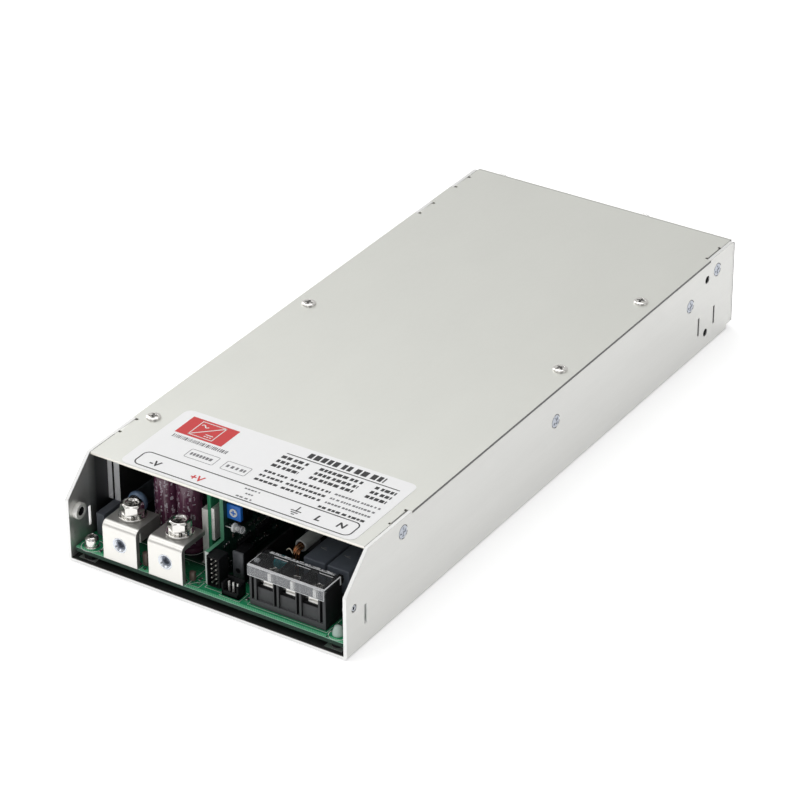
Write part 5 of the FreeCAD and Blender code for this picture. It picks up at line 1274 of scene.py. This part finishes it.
# Plain red field with the general sign of an AC to DC converter
ink.bar(5.2, 26.8, 28.5, 41.4, 1)
sign = Print(LABEL_Z[1] + 0.05, CORNER)
x0, x1, y0, y1 = 10.6, 21.4, 29.9, 40.1
sign.ribbon([(x0, y0), (x1, y0), (x1, y1), (x0, y1)], 0.55, 0, True)
sign.ribbon([(x0, y0), (x1, y1)], 0.5)
wave = [(x0 + 1.0 + 3.4 * i / 12, y1 - 2.6 + 0.75 * math.sin(TAU * i / 12)) for i in range(13)]
sign.ribbon(wave, 0.5)
sign.bar(x1 - 4.6, x1 - 1.2, y0 + 2.5, y0 + 3.0)
for i in range(3):
    sign.bar(x1 - 4.6 + 1.25 * i, x1 - 3.75 + 1.25 * i, y0 + 1.2, y0 + 1.7)
sign.make("label_sign", "label_film", ["white_ink"])
# Plain row of code-like bars under the field
bars = random.Random(5)
x = 6.2
while x < 31.4:
    width = bars.choice((0.28, 0.28, 0.5, 0.75))
    ink.bar(x, x + width, 25.0, 27.2, 2)
    x += width + bars.choice((0.3, 0.5))
for x0, x1 in ((18.6, 31.6), (35.2, 46.2)):
    ink.ribbon(round_rect(x0, x1, 15.6, 21.6, 0.6, 3), 0.25, 2, True)
    ink.row(x0 + 1.2, x1 - 1.2, 17.7, 1.8, 2, 0.4, 0.8, 1.4, int(x0))
ink.make("label_print", "label_film", ["ink", "red_ink", "grey_ink"])


# Print and pads on the main board

OUTLINE = 0.25
silk = Print(BOARD_TOP + 0.03)


def silk_box(x, y, grow):
    low_x, high_x = x[0] - grow, x[1] + grow
    low_y, high_y = max(y[0] - grow, BOARD_FRONT + 0.4), y[1] + grow
    silk.ribbon([(low_x, low_y), (high_x, low_y), (high_x, high_y), (low_x, high_y)], OUTLINE, 0, True)


for name in ("negative_terminal", "positive_terminal", "aux_header", "input_block", "signal_header"):
    x, y, z = box_of(name)
    silk_box(x, y, 0.7)
silk_box((-10.0, -5.2), (-143.8, -134.6), 0.0)
silk.ribbon([(-10.6, -144.2), (-5.2, -138.8)], OUTLINE)
for x, y, z in solids_of("output_capacitors"):
    silk.ring(mid(x), mid(y), size(x) / 2 + 0.5, OUTLINE)
x, y, z = solids_of("board_screws")[0]
silk.ring(mid(x), mid(y), 4.3, 0.3)
silk.ring(*SUPPORT, 3.6, 0.3)
ways = random.Random(12)
for k in range(26):
    x = ways.uniform(-59, 50)
    y = ways.uniform(BOARD_FRONT + 1.4, -128)
    turn = ways.choice((1, -1))
    run = ways.uniform(2.0, 7.0)
    silk.ribbon([(x, y), (x + run, y), (x + run + 1.6, y + 1.6 * turn)], 0.5, 1)
for k in range(60):
    x = ways.uniform(-60, 60)
    y = ways.uniform(BOARD_FRONT + 1.0, -127)
    silk.ring(x, y, 0.42, 0.36, 2, 12)
silk.make("board_print", "green_board", ["white_ink", "mask_line", "solder"])

chips = Solid()
for x, y, along_x in ((14.9, -140.6, 0), (14.9, -134.0, 1), (-7.6, -139.2, 0), (-7.6, -132.6, 1),
                      (53.6, -136.8, 1), (-53.0, -131.0, 0), (9.6, -131.4, 1), (-51.0, -143.4, 0),
                      (-6.2, -136.0, 0), (53.4, -141.0, 0)):
    body, *caps = chip_spans(x, y, along_x, (1.2, 0.75), (0.45, 1.2), 0.8)
    chips.add(brick(*body, (BOARD_TOP, BOARD_TOP + 0.65), 0.06, 1))
    for cap in caps:
        chips.add(brick(*cap, (BOARD_TOP, BOARD_TOP + 0.68), 0.06, 1), 1)
for x, y, tall in ((-9.5, -141.3, 4.6), (-30.4, -142.2, 6.4)):
    chips.add(brick(span(x, 2.4), span(y, 1.8), (BOARD_TOP + 0.4, BOARD_TOP + tall), 0.6, 3), 2)
    for step in (-0.6, 0.6):
        chips.add(tube([(x + step, y, BOARD_TOP), (x + step, y, BOARD_TOP + 0.6)], 0.22, 8), 1)
chips.make("board_small_parts", "black_plastic", ["panel", "solder", "tan"])


# Studio: floor, world, lamps and camera, in metres

floor_mesh = bpy.data.meshes.new("floor")
floor_mesh.from_pydata([(-9, -9, 0), (9, -9, 0), (9, 9, 0), (-9, 9, 0)], [], QUAD)
floor = bpy.data.objects.new("floor", floor_mesh)
scene.collection.objects.link(floor)
paper = bpy.data.materials.new("studio_paper")
paper.use_nodes = True
tree = paper.node_tree
tree.nodes.clear()
rays = node(tree, "LightPath").outputs
seen = calc(tree, "MAXIMUM", rays["Is Camera Ray"], rays["Is Glossy Ray"])
shown = calc(tree, "MAXIMUM", seen, rays["Is Transmission Ray"])
matt = node(tree, "BsdfDiffuse", {"Color": (0.9, 0.9, 0.9, 1)})
glow = node(tree, "Emission", {"Color": (1, 1, 1, 1), "Strength": calc(tree, "MULTIPLY", shown, 0.45)})
both = node(tree, "AddShader", {0: matt.outputs["BSDF"], 1: glow.outputs["Emission"]})
node(tree, "OutputMaterial", {"Surface": both.outputs["Shader"]})
floor_mesh.materials.append(paper)

world = bpy.data.worlds.new("studio")
scene.world = world
world.use_nodes = True
tree = world.node_tree
where = node(tree, "TexCoord").outputs["Generated"]
bright_side = Vector((-0.62, 0.62, 0.48)).normalized()
lean = node(tree, "VectorMath", {0: where, 1: bright_side}, operation="DOT_PRODUCT").outputs["Value"]
ramp = node(tree, "ValToRGB", {"Fac": portion(tree, lean, -1.0, 1.0)})
dim, bright = ramp.color_ramp.elements
dim.position, dim.color = 0.18, (0.26, 0.26, 0.27, 1)
bright.position, bright.color = 0.86, (0.95, 0.95, 0.94, 1)
fill(tree, tree.nodes["Background"], {"Color": ramp.outputs["Color"], "Strength": 0.68})


def lamp(name, place, aim, sides, power):
    data = bpy.data.lights.new(name, "AREA")
    data.shape = "RECTANGLE"
    data.size, data.size_y = sides
    data.energy = power
    made = bpy.data.objects.new(name, data)
    made.location = place
    made.rotation_euler = (Vector(aim) - Vector(place)).to_track_quat("-Z", "Y").to_euler()
    scene.collection.objects.link(made)


lamp("soft_top", (-0.25, 0.10, 1.25), (0, 0, 0.02), (1.3, 1.3), 5.4)
lamp("soft_left", (-1.25, 0.35, 0.75), (0, 0, 0.02), (0.9, 0.9), 4.5)
lamp("soft_front", (0.35, -1.30, 0.55), (0, -0.1, 0.02), (0.9, 0.6), 1.8)
lamp("soft_front_left", (-0.75, -1.0, 0.95), (0, -0.12, 0.02), (0.7, 0.7), 1.6)
lamp("soft_right", (1.35, 0.10, 0.60), (0, 0, 0.02), (0.8, 0.8), 1.4)

# Camera fitted to the corners of the case in the photo
AZ, EL, ROLL = (math.radians(v) for v in (32.9233, 30.4625, -0.3602))
TARGET = Vector((-3.1915, -7.9008, 20.0)) * MM
DISTANCE = 1415.1306 * MM
FOCAL_PIXELS, PHOTO_PIXELS, SENSOR = 3554.391, 800.0, 36.0
back = Vector((math.sin(AZ) * math.cos(EL), -math.cos(AZ) * math.cos(EL), math.sin(EL)))
right = (-back).cross(Vector(UP)).normalized()
up = right.cross(-back)
turned_right = right * math.cos(ROLL) + up * math.sin(ROLL)
turned_up = up * math.cos(ROLL) - right * math.sin(ROLL)
lens_data = bpy.data.cameras.new("camera")
lens_data.sensor_width = SENSOR
lens_data.lens = FOCAL_PIXELS / PHOTO_PIXELS * SENSOR
lens_data.clip_start = 0.01
lens_data.clip_end = 50.0
camera = bpy.data.objects.new("camera", lens_data)
turned = Matrix((turned_right, turned_up, back)).transposed().to_4x4()
camera.matrix_world = Matrix.Translation(TARGET + back * DISTANCE) @ turned
scene.collection.objects.link(camera)
scene.camera = camera
